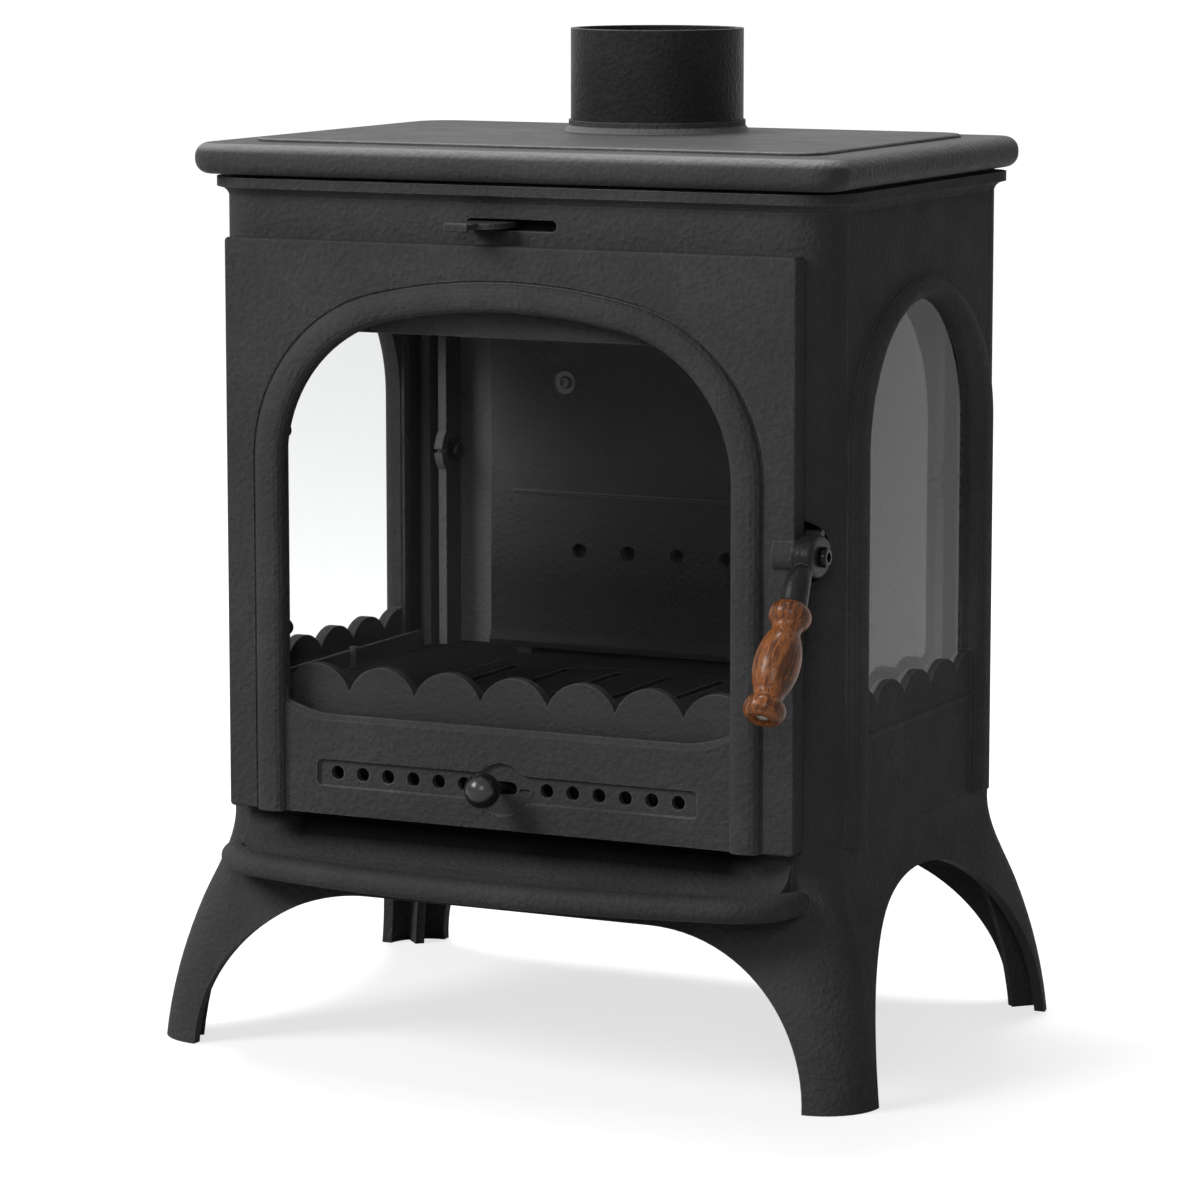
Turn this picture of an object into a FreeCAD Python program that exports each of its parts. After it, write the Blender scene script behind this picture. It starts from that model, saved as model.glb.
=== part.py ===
import FreeCAD, Part
import math
import os

# A free-standing cast iron room stove with glass in its door and in both sides.
# Lengths are in millimetres. +X is the stove's right, -Y its front, +Z up.
# The file is drawn about a line on the floor near the body's middle, and each part is
# written with the origin in the middle of the whole stove's ground area.
origin_shift = 22.5

# Castings
wall = 8
seam_gap = 0.3
rest_gap = 0.3
running_gap = 0.3
pin_gap = 0.05
overrun = 5
bite = 1.2
least_corner = 2
thread_end_gap = 1.5
full_turn = 360

# Body
body_width = 471.6
body_depth = 314.4
body_front = -149.4
seam_height = 170
body_height = 448
front_column_radius = 31
rear_column_radius = 19
lap_width = 8
lap_thickness = 6

# Inside of the rear corners: a lap strip, a rib and its round bolt lug
rear_lap_side_gap = 13.9
rear_lap_thickness = 6.6
rear_lap_depth = 19
rear_rib_side_gap = 30
rear_rib_thickness = 6.7
rear_rib_depth = 23.5
rear_lug_radius = 18.7
rear_lug_inset = 11.6
rear_lug_rise = 224
rear_lug_notch_height = 3.2
rear_lug_notch_depth = 5
seam_bolt_radius = 3
seam_bolt_head = 6.4
seam_bolt_head_height = 4
seam_washer_radius = 9.5
seam_washer_thickness = 2
seam_bolt_grip = 5

# Cornice under the top plate
cornice_proud = 8.5
cornice_top_gap = 2
cornice_strip_height = 7
cornice_cove_height = 6
cornice_cove_shares = ((0, 0), (0.45, 0.16), (0.8, 0.45), (1, 1))

# Top plate
top_side_overhang = 13.4
top_front_overhang = 17.4
top_rear_overhang = 15.1
top_thickness = 22
top_corner_radius = 22
top_edge_radius = 10
top_panel_inset = 31
top_panel_rise = 2.5
top_panel_corner = 26
top_panel_edge_radius = 2
top_web = 10
top_hollow_inset = 16

# Flue
flue_rear_inset = 96.4
flue_radius = 62.5
flue_length = 65.7
flue_wall = 4.5
flue_foot_flange = 5
collar_step = 1.5
collar_flare = 4
collar_height = 8
collar_ledge = 12.5
collar_bolt_count = 3
collar_bolt_radius = 2.5
collar_bolt_inset = 9
collar_bolt_tang = 7
bolt_head_radius = 4
bolt_head_height = 3

# Stand: flared skirt, arches, corner legs and the ash lip
flare_top_drop = 5
flare_upper_radius = 100
flare_turn_drop = 44.5
flare_lower_radius = 410
foot_corner_radius = 40
skirt_levels = 8
front_arch_flat_inset = 125.8
front_arch_side = 126
front_arch_drop = 56.5
side_arch_rear_shift = 2.2
side_arch_past_body = 0.8
side_arch_drop = 33.5
stand_flange = 34
leg_rib_thickness = 7
leg_rib_depth = 17
lip_reach = 76.6
lip_root = 2.4
lip_bow_depth = 22.14
lip_side_inset = 50.8
lip_end_radius = 51.4
lip_drop = 42
lip_thickness = 17
lip_nose_radius = 8
lip_rim_width = 15
lip_tray_depth = 3
lip_rise_drop = 6
lip_rise_reach = 34
lip_rise_bend_shares = (0.36, 0.33)

# Door
door_side_inset = 17.6
door_seam_rise = 0.8
door_top_drop = 42.8
door_thickness = 15.3
door_gap = 0.4
door_skin = 8
door_corner_radius = 3
door_edge_radius = 1.5
door_bead_inset = 23.9
door_bead_crown_drop = 25.2
door_bead_rise_share = 0.6665
door_bead_shoulder_share = 0.6212
door_bead_proud = 7
door_bead_roll = 11
door_bead_inner_roll = 9
door_groove_width = 2
door_groove_depth = 1.2
door_bead_width = 22.5
door_window_spring_drop = 0.4
door_window_rise_share = 0.6409
door_window_shoulder_share = 0.5972
door_sill_rise = 71.2
door_sill_end_length = 34.8
door_sill_end_rise = 9
door_sill_sag_share = 0.3
door_sill_bevel = 4
door_glass_side_margin = 8.2
door_glass_foot_margin = 11
door_glass_top_margin = 9.8
door_glass_rebate = 2.2
door_glass_seal = 1.1
roll_shares = ((0, 0), (0.1, 0.42), (0.32, 0.75), (0.62, 0.94), (1, 1))

# Rope seal
rope_side_inset = 19.7
rope_foot_inset = 8.8
rope_top_inset = 9.2
rope_radius = 3.6
rope_bend = 12
rope_rib = 3
rope_rib_height = 4

# Fire opening and ash opening of the front plate
fire_side_inset = 36.9
fire_top_drop = 64.2
front_scallop_valley_rise = 14
front_scallop_height = 19
front_scallop_count = 7
fire_corner_radius = 30
ash_side_inset = 50.2
ash_foot_rise = 16.2
ash_top_drop = 8
ash_corner_radius = 10

# Airwash slot above the door, and its slide
airwash_slot_left = -35.7
airwash_slot_right = 33.6
airwash_slot_height = 8
airwash_slot_drop = 29
airwash_plate_thickness = 3
airwash_plate_half_height = 11
airwash_plate_left = -95
airwash_plate_right = 88
airwash_travel = 34
airwash_lever_left = -33
airwash_lever_root_right = -1.1
airwash_lever_tip_right = -15.5
airwash_lever_reach = 38.6
airwash_lever_thickness = 4
airwash_lever_lip = 6
airwash_lever_lip_length = 5
airwash_lever_lip_radius = 1.4
airwash_lever_step_share = 0.55
airwash_lever_curve_shares = (0.25, 0.3)
guide_lip = 3
guide_thickness = 2.5
airwash_box_inset = 58.2
airwash_box_depth = 34
airwash_box_wall = 3
airwash_box_drop = 6
airwash_box_height = 50
airwash_hole_radius = 5
airwash_hole_count = 9
airwash_hole_pitch = 30

# Side windows
side_window_lead = 1.3
side_bead_margin = 3.6
side_bead_width = 27.6
side_bead_crown_drop = 66.7
side_bead_rise_share = 0.8608
side_bead_shoulder_share = 0.7442
side_bead_proud = 8
side_bead_roll = 12
side_bead_inner_roll = 10
side_window_spring_drop = 3.6
side_window_rise_share = 0.9703
side_window_shoulder_share = 0.9109
side_scallop_valley_rise = 92
side_scallop_height = 12.5
side_scallop_end_gap = 4.85
side_scallop_count = 5
side_rail_rise = 72
side_rail_size = 6
side_rail_proud = 1.6
glass_ledge_rise = 70
glass_ledge_height = 17
glass_ledge_depth = 12
glass_ledge_thickness = 3

# Glass
glass_thickness = 4
glass_margin = 9
glass_seal = 3
glass_seal_width = 8
glass_corner_radius = 6
side_glass_foot_gap = 4
side_glass_top_margin = 10

# Clips and screws
clip_thickness = 2
clip_radius = 7
clip_reach = 13
clip_neck_share = 0.8
clip_screw_radius = 2
clip_screw_head = 4
clip_screw_head_height = 2
clip_boss_radius = 5
clip_boss_gap = 7
door_clip_radius = 5.5
door_clip_reach = 8
door_clip_boss_gap = 6
side_clip_rise = 156
side_clip_top_spread = 60
door_clip_low_rise = 69
door_clip_high_drop = 100
door_clip_top_spread = 80

# Primary air slide in the door
air_row_rise = 29.8
air_hole_radius = 5
air_hole_pitch = 20
air_hole_first = 32
air_hole_count = 6
air_channel_inset = 71.2
air_channel_height = 19
air_channel_depth = 2.5
air_channel_end_radius = 4
air_round_radius = 18.5
air_round_drop = 1.3
air_round_right = 2.5
air_round_blend = 16
air_slide_inset = 5
air_slide_height = 21
air_slide_thickness = 2.5
air_travel = 10
air_slot_drop = 0.5
air_slot_height = 9.2
air_slot_end_gap = 0.6
air_stem_x = -4.5
air_stem_radius = 3.2
air_stem_lean = 5.3
air_knob_radius = 12.5
air_knob_neck = 6.5
air_knob_neck_length = 3
air_knob_stand = 24
air_guide_lip = 2.5
air_guide_thickness = 2

# Hinge
hinge_inset = 5.2
hinge_behind_face = 11.1
hinge_edge_radius = 5
hinge_eye_radius = 5
hinge_web = 6
hinge_pocket_radius = 6.9
hinge_pin_radius = 2.5
hinge_pin_head = 3.5
hinge_pin_rise = 12
hinge_lug_height = 16
hinge_low_rise = 55.2
hinge_high_drop = 75.2
hinge_washer_thickness = 1.1
hinge_lift_room = 14

# Handle
pivot_behind_face = 5.6
pivot_rise = 204.7
lug_length = 15.2
lug_radius = 11.2
spacer_radius = 12.5
spacer_length = 3.6
hub_length = 13.4
hub_reach = 19
hub_half_height = 14.5
hub_edge_radius = 3
pocket_radius = 25
pocket_behind_door_edge = 1.2
pocket_wall = 4.5
pivot_bolt_radius = 4
pivot_head_radius = 7
pivot_head_height = 5
pivot_thread_depth = 10
arm_sections = ((-6, -3, 6.6), (-19, -10, 7.6), (-26, -18, 9), (-31.4, -28.4, 9.8))
arm_end_radius = 10.3
grip_start_y = -32.4
grip_start_z = -29.7
grip_lean = 36.1
grip_outline = (
    (0, 11), (7.2, 14.4), (14.5, 10.7),
    (17.5, 9.9), (21.5, 10.7),
    (44.5, 15.7), (64, 10.9),
    (67.2, 10.2), (70, 10.9),
    (76.8, 14.5), (84.5, 10.5))
grip_bolt_radius = 3
grip_bolt_head = 5
grip_recess_radius = 6
grip_recess_depth = 3
grip_bolt_head_height = 2
grip_bolt_in_arm = 8
catch_pin_radius = 3
catch_pin_reach = 12
catch_pin_root = 9
catch_pin_distance = 21.3
catch_pin_angle = 37

# Fire bed, grate and ash pan
floor_thickness = 8
floor_clearance = 1.1
bed_rise = 68
bed_thickness = 8
bed_gap = 2
bed_leg_size = 12
bed_rear_leg_gap = 24
grate_side_inset = 107.8
grate_half_depth = 70
grate_rear_shift = 4.2
grate_step = 6
grate_slot_end_inset = 23
grate_slot_count = 6
grate_slot_width = 9
grate_slot_margin = 14
ash_pan_side_inset = 77.8
ash_pan_depth = 225
ash_pan_height = 42
ash_pan_wall = 1.5
ash_pan_front_gap = 10
ash_pan_lip = 6
ash_pan_lip_half = 52
ash_pan_corner = 8

# Back liner
liner_side_inset = 81.8
liner_top_drop = 78
liner_foot_rise = 11
liner_curl_radius = 9
liner_curl_turn = math.pi / 3
liner_stand_inset = 34
liner_stand_width = 12
liner_thickness = 6
liner_air_gap = 32
liner_hole_radius = 6
liner_hole_pitch = 40
liner_hole_count = 5
liner_hole_rise = 88
liner_rib_rise = 131
liner_rib_half = 134
liner_rib_size = 2
liner_bolt_x = 91
liner_bolt_rise = 214
liner_bolt_radius = 4
liner_bolt_end = 2
liner_washer_radius = 8.5
liner_washer_thickness = 1.5
liner_head_radius = 5
liner_head_height = 3.5
liner_nut_radius = 7.5
liner_nut_height = 6

# Baffle
baffle_thickness = 8
baffle_ledge_drop = 52
baffle_ledge_height = 8
baffle_ledge_reach = 14
baffle_ledge_front_gap = 24
baffle_front_gap = 89.4
baffle_side_gap = 1.1

# Tie rods between the stand and the top plate
tie_front_side_inset = 26.8
tie_front_inset = 27.4
tie_rear_side_inset = 95.8
tie_rear_inset = 24
tie_radius = 4
tie_boss_radius = 8
tie_top_grip = 5
tie_nut_radius = 7.5
tie_nut_height = 7
tie_rod_end = 2
tie_passage = 2

half_width = body_width / 2
body_rear = body_front + body_depth
body_middle = (body_front + body_rear) / 2
body_top = seam_height + body_height
body_foot = seam_height + seam_gap
front_inner = body_front + wall
back_inner = body_rear - wall
side_inner = half_width - wall
side_front_edge = body_front + front_column_radius
side_rear_edge = body_rear - rear_column_radius
floor_top = seam_height + floor_thickness
lap_foot = floor_top + rest_gap
rear_rib_outer = half_width - rear_rib_side_gap
rear_rib_inner = rear_rib_outer - rear_rib_thickness
rear_rib_front = back_inner - rear_rib_depth
rear_lap_outer = half_width - rear_lap_side_gap
rear_lap_inner = rear_lap_outer - rear_lap_thickness
rear_lap_front = back_inner - rear_lap_depth
rear_lug_y = back_inner - rear_lug_inset
rear_lug_height = seam_height + rear_lug_rise
cornice_top = body_top - cornice_top_gap
cornice_strip_foot = cornice_top - cornice_strip_height
cornice_foot = cornice_strip_foot - cornice_cove_height
top_half = half_width + top_side_overhang
top_front = body_front - top_front_overhang
top_rear = body_rear + top_rear_overhang
top_foot = body_top + seam_gap
top_face = top_foot + top_thickness
top_panel_face = top_face + top_panel_rise
collar_top = top_panel_face + collar_height
collar_radius = flue_radius + collar_step
collar_bore = flue_radius - collar_ledge
collar_bolt_circle = flue_radius - collar_bolt_inset
flue_y = top_rear - flue_rear_inset
flare_turn_height = seam_height - flare_turn_drop
front_arch_flat_half = half_width - front_arch_flat_inset
front_arch_top = seam_height - front_arch_drop
side_arch_middle = body_middle + side_arch_rear_shift
side_arch_half = body_depth / 2 + side_arch_past_body
side_arch_top = seam_height - side_arch_drop
lip_front = body_front - lip_reach
lip_back = body_front + lip_root
lip_bow_half = half_width - lip_side_inset
lip_bow_radius = (lip_bow_half ** 2 + lip_bow_depth ** 2) / (2 * lip_bow_depth)
lip_foot = seam_height - lip_drop
lip_top = lip_foot + lip_thickness
lip_rise_top = seam_height - lip_rise_drop
door_half = half_width - door_side_inset
door_foot = seam_height + door_seam_rise
door_top = body_top - door_top_drop
door_back = body_front - door_gap
door_face = door_back - door_thickness
door_skin_back = door_face + door_skin
door_bead_half = door_half - door_bead_inset
door_bead_rise = door_bead_half * door_bead_rise_share
door_bead_shoulder = door_bead_half * door_bead_shoulder_share
door_bead_spring = door_top - door_bead_crown_drop - door_bead_rise
door_window_half = door_bead_half - door_bead_width
door_window_rise = door_window_half * door_window_rise_share
door_window_shoulder = door_window_half * door_window_shoulder_share
door_window_spring = door_bead_spring - door_window_spring_drop
door_sill = door_foot + door_sill_rise
door_sill_straight_half = door_window_half - door_sill_end_length
door_glass_half = door_window_half + door_glass_side_margin
door_glass_foot = door_sill - door_glass_foot_margin
door_glass_top = door_window_spring + door_window_rise + door_glass_top_margin
door_glass_front = door_skin_back - door_glass_rebate + door_glass_seal
door_glass_back = door_glass_front + glass_thickness
rope_half_width = door_half - rope_side_inset
rope_foot = door_foot + rope_foot_inset
rope_top = door_top - rope_top_inset
fire_half_width = door_half - fire_side_inset
fire_top = door_top - fire_top_drop
front_scallop_valley = door_sill + front_scallop_valley_rise
front_scallop_crest = front_scallop_valley + front_scallop_height
ash_half_width = door_half - ash_side_inset
ash_foot = door_foot + ash_foot_rise
ash_top = door_sill - ash_top_drop
airwash_slot_middle = body_top - airwash_slot_drop
airwash_lever_front = body_front - airwash_lever_reach
airwash_box_half = door_half - airwash_box_inset
airwash_box_top = body_top - airwash_box_drop
airwash_box_foot = airwash_box_top - airwash_box_height
side_window_middle = (side_front_edge + side_rear_edge) / 2 - side_window_lead
side_bead_half = (side_rear_edge - side_front_edge) / 2 - side_bead_margin
side_bead_rise = side_bead_half * side_bead_rise_share
side_bead_shoulder = side_bead_half * side_bead_shoulder_share
side_bead_spring = body_top - side_bead_crown_drop - side_bead_rise
side_window_half = side_bead_half - side_bead_width
side_window_rise = side_window_half * side_window_rise_share
side_window_shoulder = side_window_half * side_window_shoulder_share
side_window_spring = side_bead_spring - side_window_spring_drop
side_scallop_valley = seam_height + side_scallop_valley_rise
side_scallop_crest = side_scallop_valley + side_scallop_height
side_scallop_pitch = 2 * (side_bead_half - side_scallop_end_gap) / side_scallop_count
side_rail_height = seam_height + side_rail_rise
side_glass_face = side_inner - glass_seal
side_glass_back = side_glass_face - glass_thickness
glass_ledge_foot = seam_height + glass_ledge_rise
side_glass_foot = glass_ledge_foot + side_glass_foot_gap
side_glass_top = side_window_spring + side_window_rise + side_glass_top_margin
side_clip_height = side_glass_foot + side_clip_rise
air_row_height = door_foot + air_row_rise
air_channel_half = door_half - air_channel_inset
air_slide_half = air_channel_half - air_slide_inset
air_slot_middle = air_row_height - air_slot_drop
hinge_x = hinge_inset - door_half
hinge_y = door_face + hinge_behind_face
hinge_lug_feet = (door_foot + hinge_low_rise, door_top - hinge_high_drop)
pivot_y = door_face + pivot_behind_face
pivot_z = door_foot + pivot_rise
pocket_left = door_half - pocket_behind_door_edge
hub_left = door_half + spacer_length + running_gap
hub_right = hub_left + hub_length
grip_x = (hub_left + hub_right) / 2
grip_length = grip_outline[-1][0]
bed_foot = seam_height + bed_rise
bed_top = bed_foot + bed_thickness
grate_half_width = half_width - grate_side_inset
grate_y = body_middle + grate_rear_shift
grate_slot_pitch = 2 * (grate_half_width - grate_slot_end_inset) / (grate_slot_count - 1)
ash_pan_half_width = half_width - ash_pan_side_inset
liner_half_width = half_width - liner_side_inset
liner_top = body_top - liner_top_drop
liner_foot = bed_foot + liner_foot_rise
liner_back = back_inner - liner_air_gap
liner_face = liner_back - liner_thickness
liner_stand_x = liner_half_width - liner_stand_inset
liner_bolt_z = bed_foot + liner_bolt_rise
baffle_ledge_foot = body_top - baffle_ledge_drop
baffle_front = body_front + baffle_front_gap
tie_front_x = half_width - tie_front_side_inset
tie_front_y = body_front + tie_front_inset
tie_rear_x = half_width - tie_rear_side_inset
tie_rear_y = body_rear - tie_rear_inset
x_way = FreeCAD.Vector(1, 0, 0)
y_way = FreeCAD.Vector(0, 1, 0)
z_way = FreeCAD.Vector(0, 0, 1)


def at(x, y, z):
    return FreeCAD.Vector(x, y, z)


def box(x0, x1, y0, y1, z0, z1):
    """A block between two corners."""
    return Part.makeBox(x1 - x0, y1 - y0, z1 - z0, at(x0, y0, z0))


def rod(start, way, radius, length):
    """A round bar from a point along a direction."""
    return Part.makeCylinder(radius, length, start, way)


def on_plan(z):
    return lambda u, v: at(u, v, z)


def on_front(y):
    return lambda u, v: at(u, y, v)


def on_side(x):
    return lambda u, v: at(x, u, v)


def wire(path, place):
    """A closed wire of straight steps (two points) and arcs (three points)."""
    edges = []
    for step in path:
        points = [place(*point) for point in step]
        curve = Part.LineSegment(*points) if len(points) == 2 else Part.Arc(*points)
        edges.append(curve.toShape())
    return Part.Wire(edges)


def slab(path, place, push):
    """The area inside a path, pushed along a vector."""
    return Part.Face(wire(path, place)).extrude(push)


def arc_step(centre_u, centre_v, radius, start, end):
    """One arc step about a centre, between two angles in radians."""
    points = []
    for turn in (start, (start + end) / 2, end):
        points.append((centre_u + radius * math.cos(turn), centre_v + radius * math.sin(turn)))
    return tuple(points)


def round_box_path(u0, u1, v0, v1, low_radius, high_radius):
    """A rectangle with one radius at its two low corners and one at its two high ones."""
    quarter = math.pi / 2
    corners = [
        arc_step(u0 + low_radius, v0 + low_radius, low_radius, math.pi, math.pi + quarter),
        arc_step(u1 - low_radius, v0 + low_radius, low_radius, -quarter, 0),
        arc_step(u1 - high_radius, v1 - high_radius, high_radius, 0, quarter),
        arc_step(u0 + high_radius, v1 - high_radius, high_radius, quarter, math.pi)]
    path = []
    for number, corner in enumerate(corners):
        following = corners[(number + 1) % len(corners)]
        path.append(corner)
        path.append((corner[-1], following[0]))
    return path


def arch_path(middle, half, foot, spring, rise, shoulder, inset=0):
    """A window arch: straight sides, two shoulder arcs and a flatter crown arc."""
    crown = ((half - shoulder) ** 2 + rise ** 2 - shoulder ** 2) / (2 * (rise - shoulder))
    lean = math.atan2(crown - rise, half - shoulder)
    crown_middle = spring + rise - crown
    right_arc = arc_step(middle + half - shoulder, spring, shoulder - inset, 0, lean)
    crown_arc = arc_step(middle, crown_middle, crown - inset, lean, math.pi - lean)
    left_arc = arc_step(middle - half + shoulder, spring, shoulder - inset, math.pi - lean, math.pi)
    right_foot = (middle + half - inset, foot)
    left_foot = (middle - half + inset, foot)
    return [
        (left_foot, right_foot), (right_foot, right_arc[0]), right_arc,
        (right_arc[-1], crown_arc[1], left_arc[0]), left_arc, (left_arc[-1], left_foot)]


def rolled(path_at, plane, face, way, width, height, sunk):
    """A raised form whose edge rolls over: its path steps inwards as it rises."""
    wires = [wire(path_at(0), plane(face - way * sunk))]
    for width_share, height_share in roll_shares:
        wires.append(wire(path_at(width * width_share), plane(face + way * height * height_share)))
    return Part.makeLoft(wires, True, True)


def bumps(plane, push, middle, pitch, count, valley, crest):
    """A row of round-topped bumps that stand on a straight edge."""
    root = valley - overrun
    pieces = []
    for number in range(count):
        centre = middle + (number - (count - 1) / 2) * pitch
        left = centre - pitch / 2
        right = centre + pitch / 2
        path = [
            ((left, root), (right, root)), ((right, root), (right, valley)),
            ((right, valley), (centre, crest), (left, valley)), ((left, valley), (left, root))]
        pieces.append(slab(path, plane, push))
    return pieces[0].multiFuse(pieces[1:])


def mirrored(shape):
    """The same piece on the stove's other side."""
    return shape.mirror(at(0, 0, 0), x_way)


def both_sides(shape):
    return [shape, mirrored(shape)]


def joined(pieces):
    return pieces[0].multiFuse(pieces[1:]).removeSplitter()


def ring_slab(outer, inner, plane, push):
    """The area between two paths, pushed along a vector."""
    return slab(outer, plane, push).cut(slab(inner, plane, push))


def screw(start, way, radius, length, head_radius, head_height):
    """A screw whose head stands at the start and whose shank runs along the way."""
    head = rod(start, way * -1, head_radius, head_height)
    crown = [edge for edge in head.Edges if edge.Length > math.pi * head_radius]
    crown = [edge for edge in crown if (edge.CenterOfMass - start).Length > head_height / 2]
    head = head.makeFillet(head_height / 2, crown)
    return head.fuse(rod(start, way, radius, length))


def hex_nut(start, way, radius, height, bore):
    """A six-sided nut about a direction."""
    nut = Part.Face(Part.makePolygon(hexagon(start, way, radius))).extrude(way * height)
    return nut.cut(rod(start, way, bore, height))


def hexagon(start, way, radius):
    side = way.cross(z_way)
    if side.Length == 0:
        side = x_way
    up = way.cross(side)
    points = []
    for number in range(7):
        turn = number * math.pi / 3
        points.append(start + side * (radius * math.cos(turn)) + up * (radius * math.sin(turn)))
    return points


def write(node, shape):
    """Save a sub-part about the stove's own origin."""
    placed = shape.copy()
    placed.translate(at(0, origin_shift, 0))
    placed.exportStep("parts/" + node + ".step")


def write_all(node, pieces):
    write(node, Part.makeCompound(pieces))


def body_path(outset=0):
    """The body's plan, grown by an outset."""
    return round_box_path(
        -half_width - outset, half_width + outset, body_front - outset, body_rear + outset,
        max(front_column_radius + outset, least_corner),
        max(rear_column_radius + outset, least_corner))


def body_ring():
    """The body's walls in one piece, with the cornice, before the seams divide it."""
    ring = slab(body_path(), on_plan(body_foot), at(0, 0, body_top - body_foot))
    rise = cornice_strip_foot - cornice_foot
    wires = []
    for height_share, proud_share in cornice_cove_shares:
        outset = cornice_proud * proud_share
        wires.append(wire(body_path(outset), on_plan(cornice_foot + rise * height_share)))
    cove = Part.makeLoft(wires, True, True)
    strip = slab(
        body_path(cornice_proud), on_plan(cornice_strip_foot), at(0, 0, cornice_top - cornice_strip_foot))
    inside = slab(body_path(-wall), on_plan(0), at(0, 0, top_face))
    return ring.multiFuse([cove, strip]).cut(inside).removeSplitter()


def tie_places():
    return [
        (tie_front_x, tie_front_y), (-tie_front_x, tie_front_y),
        (tie_rear_x, tie_rear_y), (-tie_rear_x, tie_rear_y)]


def tie_passages(low, high):
    """Round passages for the four tie rods between two heights."""
    passages = []
    for x, y in tie_places():
        passages.append(rod(at(x, y, low), z_way, tie_radius + tie_passage, high - low))
    return Part.makeCompound(passages)


def skirt_flare(z):
    """How far the stand's face stands out from the body at a height."""
    top = seam_height - flare_top_drop
    if z >= flare_turn_height:
        return flare_upper_radius - math.sqrt(flare_upper_radius ** 2 - (top - z) ** 2)
    turn_sine = (top - flare_turn_height) / flare_upper_radius
    turn_cosine = math.sqrt(1 - turn_sine ** 2)
    sine = turn_sine - (flare_turn_height - z) / flare_lower_radius
    upper = flare_upper_radius * (1 - turn_cosine)
    return upper + flare_lower_radius * (math.sqrt(1 - sine ** 2) - turn_cosine)


def skirt_path(z, inset):
    """The stand's plan at a height."""
    flare = skirt_flare(z)
    share = flare / skirt_flare(0)
    front_radius = front_column_radius + (foot_corner_radius - front_column_radius) * share
    rear_radius = rear_column_radius + (foot_corner_radius - rear_column_radius) * share
    out = flare - inset
    return round_box_path(
        -half_width - out, half_width + out, body_front - out, body_rear + out,
        max(front_radius - inset, least_corner), max(rear_radius - inset, least_corner))


def skirt(inset):
    """The flared form of the stand, inset all round."""
    top = seam_height - flare_top_drop
    heights = [top * (1 - number / skirt_levels) for number in range(skirt_levels + 1)]
    wires = [wire(skirt_path(height, inset), on_plan(height)) for height in heights]
    flared = Part.makeLoft(wires, True, False)
    collar = slab(skirt_path(top, inset), on_plan(top), at(0, 0, flare_top_drop))
    return flared.fuse(collar)


def half_ellipse(plane, push, middle, half, top):
    """A full ellipse about the floor line, pushed along a vector."""
    if half > top:
        curve = Part.Ellipse(plane(middle + half, 0), plane(middle, top), plane(middle, 0))
    else:
        curve = Part.Ellipse(plane(middle, top), plane(middle + half, 0), plane(middle, 0))
    return Part.Face(Part.Wire([curve.toShape()])).extrude(push)


def leg_arches():
    """The open arches between the legs, as cutting forms."""
    depth = body_rear - body_front + 2 * skirt_flare(0) + 2 * overrun
    start = body_front - skirt_flare(0) - overrun
    across = half_width + skirt_flare(0) + overrun
    cuts = [box(
        -front_arch_flat_half, front_arch_flat_half, start, start + depth, -overrun, front_arch_top)]
    for side in (-1, 1):
        cuts.append(half_ellipse(
            on_front(start), at(0, depth, 0), side * front_arch_flat_half, front_arch_side, front_arch_top))
    cuts.append(half_ellipse(
        on_side(-across), at(2 * across, 0, 0), side_arch_middle, side_arch_half, side_arch_top))
    return cuts


def leg_ribs():
    """A rib down the inside of each corner leg, square to the corner."""
    room = skirt(wall - bite).cut(skirt(wall + leg_rib_depth))
    front_y = body_front + front_column_radius
    rear_y = body_rear - rear_column_radius
    places = (
        (half_width - front_column_radius, front_y, -1), (half_width - rear_column_radius, rear_y, 1))
    ribs = []
    length = 2 * foot_corner_radius
    for x, y, way in places:
        board = Part.makeBox(
            2 * length, leg_rib_thickness, seam_height - wall, at(-length, -leg_rib_thickness / 2, 0))
        board.rotate(at(0, 0, 0), z_way, way * math.degrees(math.pi / 4))
        board.translate(at(x, y, 0))
        reach = box(x - foot_corner_radius, x + length, y - length, y + length, 0, seam_height)
        ribs.extend(both_sides(board.common(reach).common(room)))
    return ribs


def lip_path(inset):
    """The ash lip's plan: a shallow bow whose ends turn in to the stand."""
    bow_middle = lip_front + lip_bow_radius
    lean = math.asin(lip_bow_half / lip_bow_radius)
    radius = lip_bow_radius - inset
    down = -math.pi / 2
    bow = arc_step(0, bow_middle, radius, down - lean, down + lean)
    end_x = lip_bow_half - lip_end_radius * math.sin(lean)
    end_y = bow_middle - lip_bow_radius * math.cos(lean) + lip_end_radius * math.cos(lean)
    right = arc_step(end_x, end_y, lip_end_radius - inset, down + lean, 0)
    left = arc_step(-end_x, end_y, lip_end_radius - inset, math.pi, math.pi - down - lean)
    back_right = (right[-1][0], lip_back)
    back_left = (left[0][0], lip_back)
    return [
        bow, (bow[-1], right[1], right[-1]), (right[-1], back_right),
        (back_right, back_left), (back_left, left[0]), (left[0], left[1], bow[0])]


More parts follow.
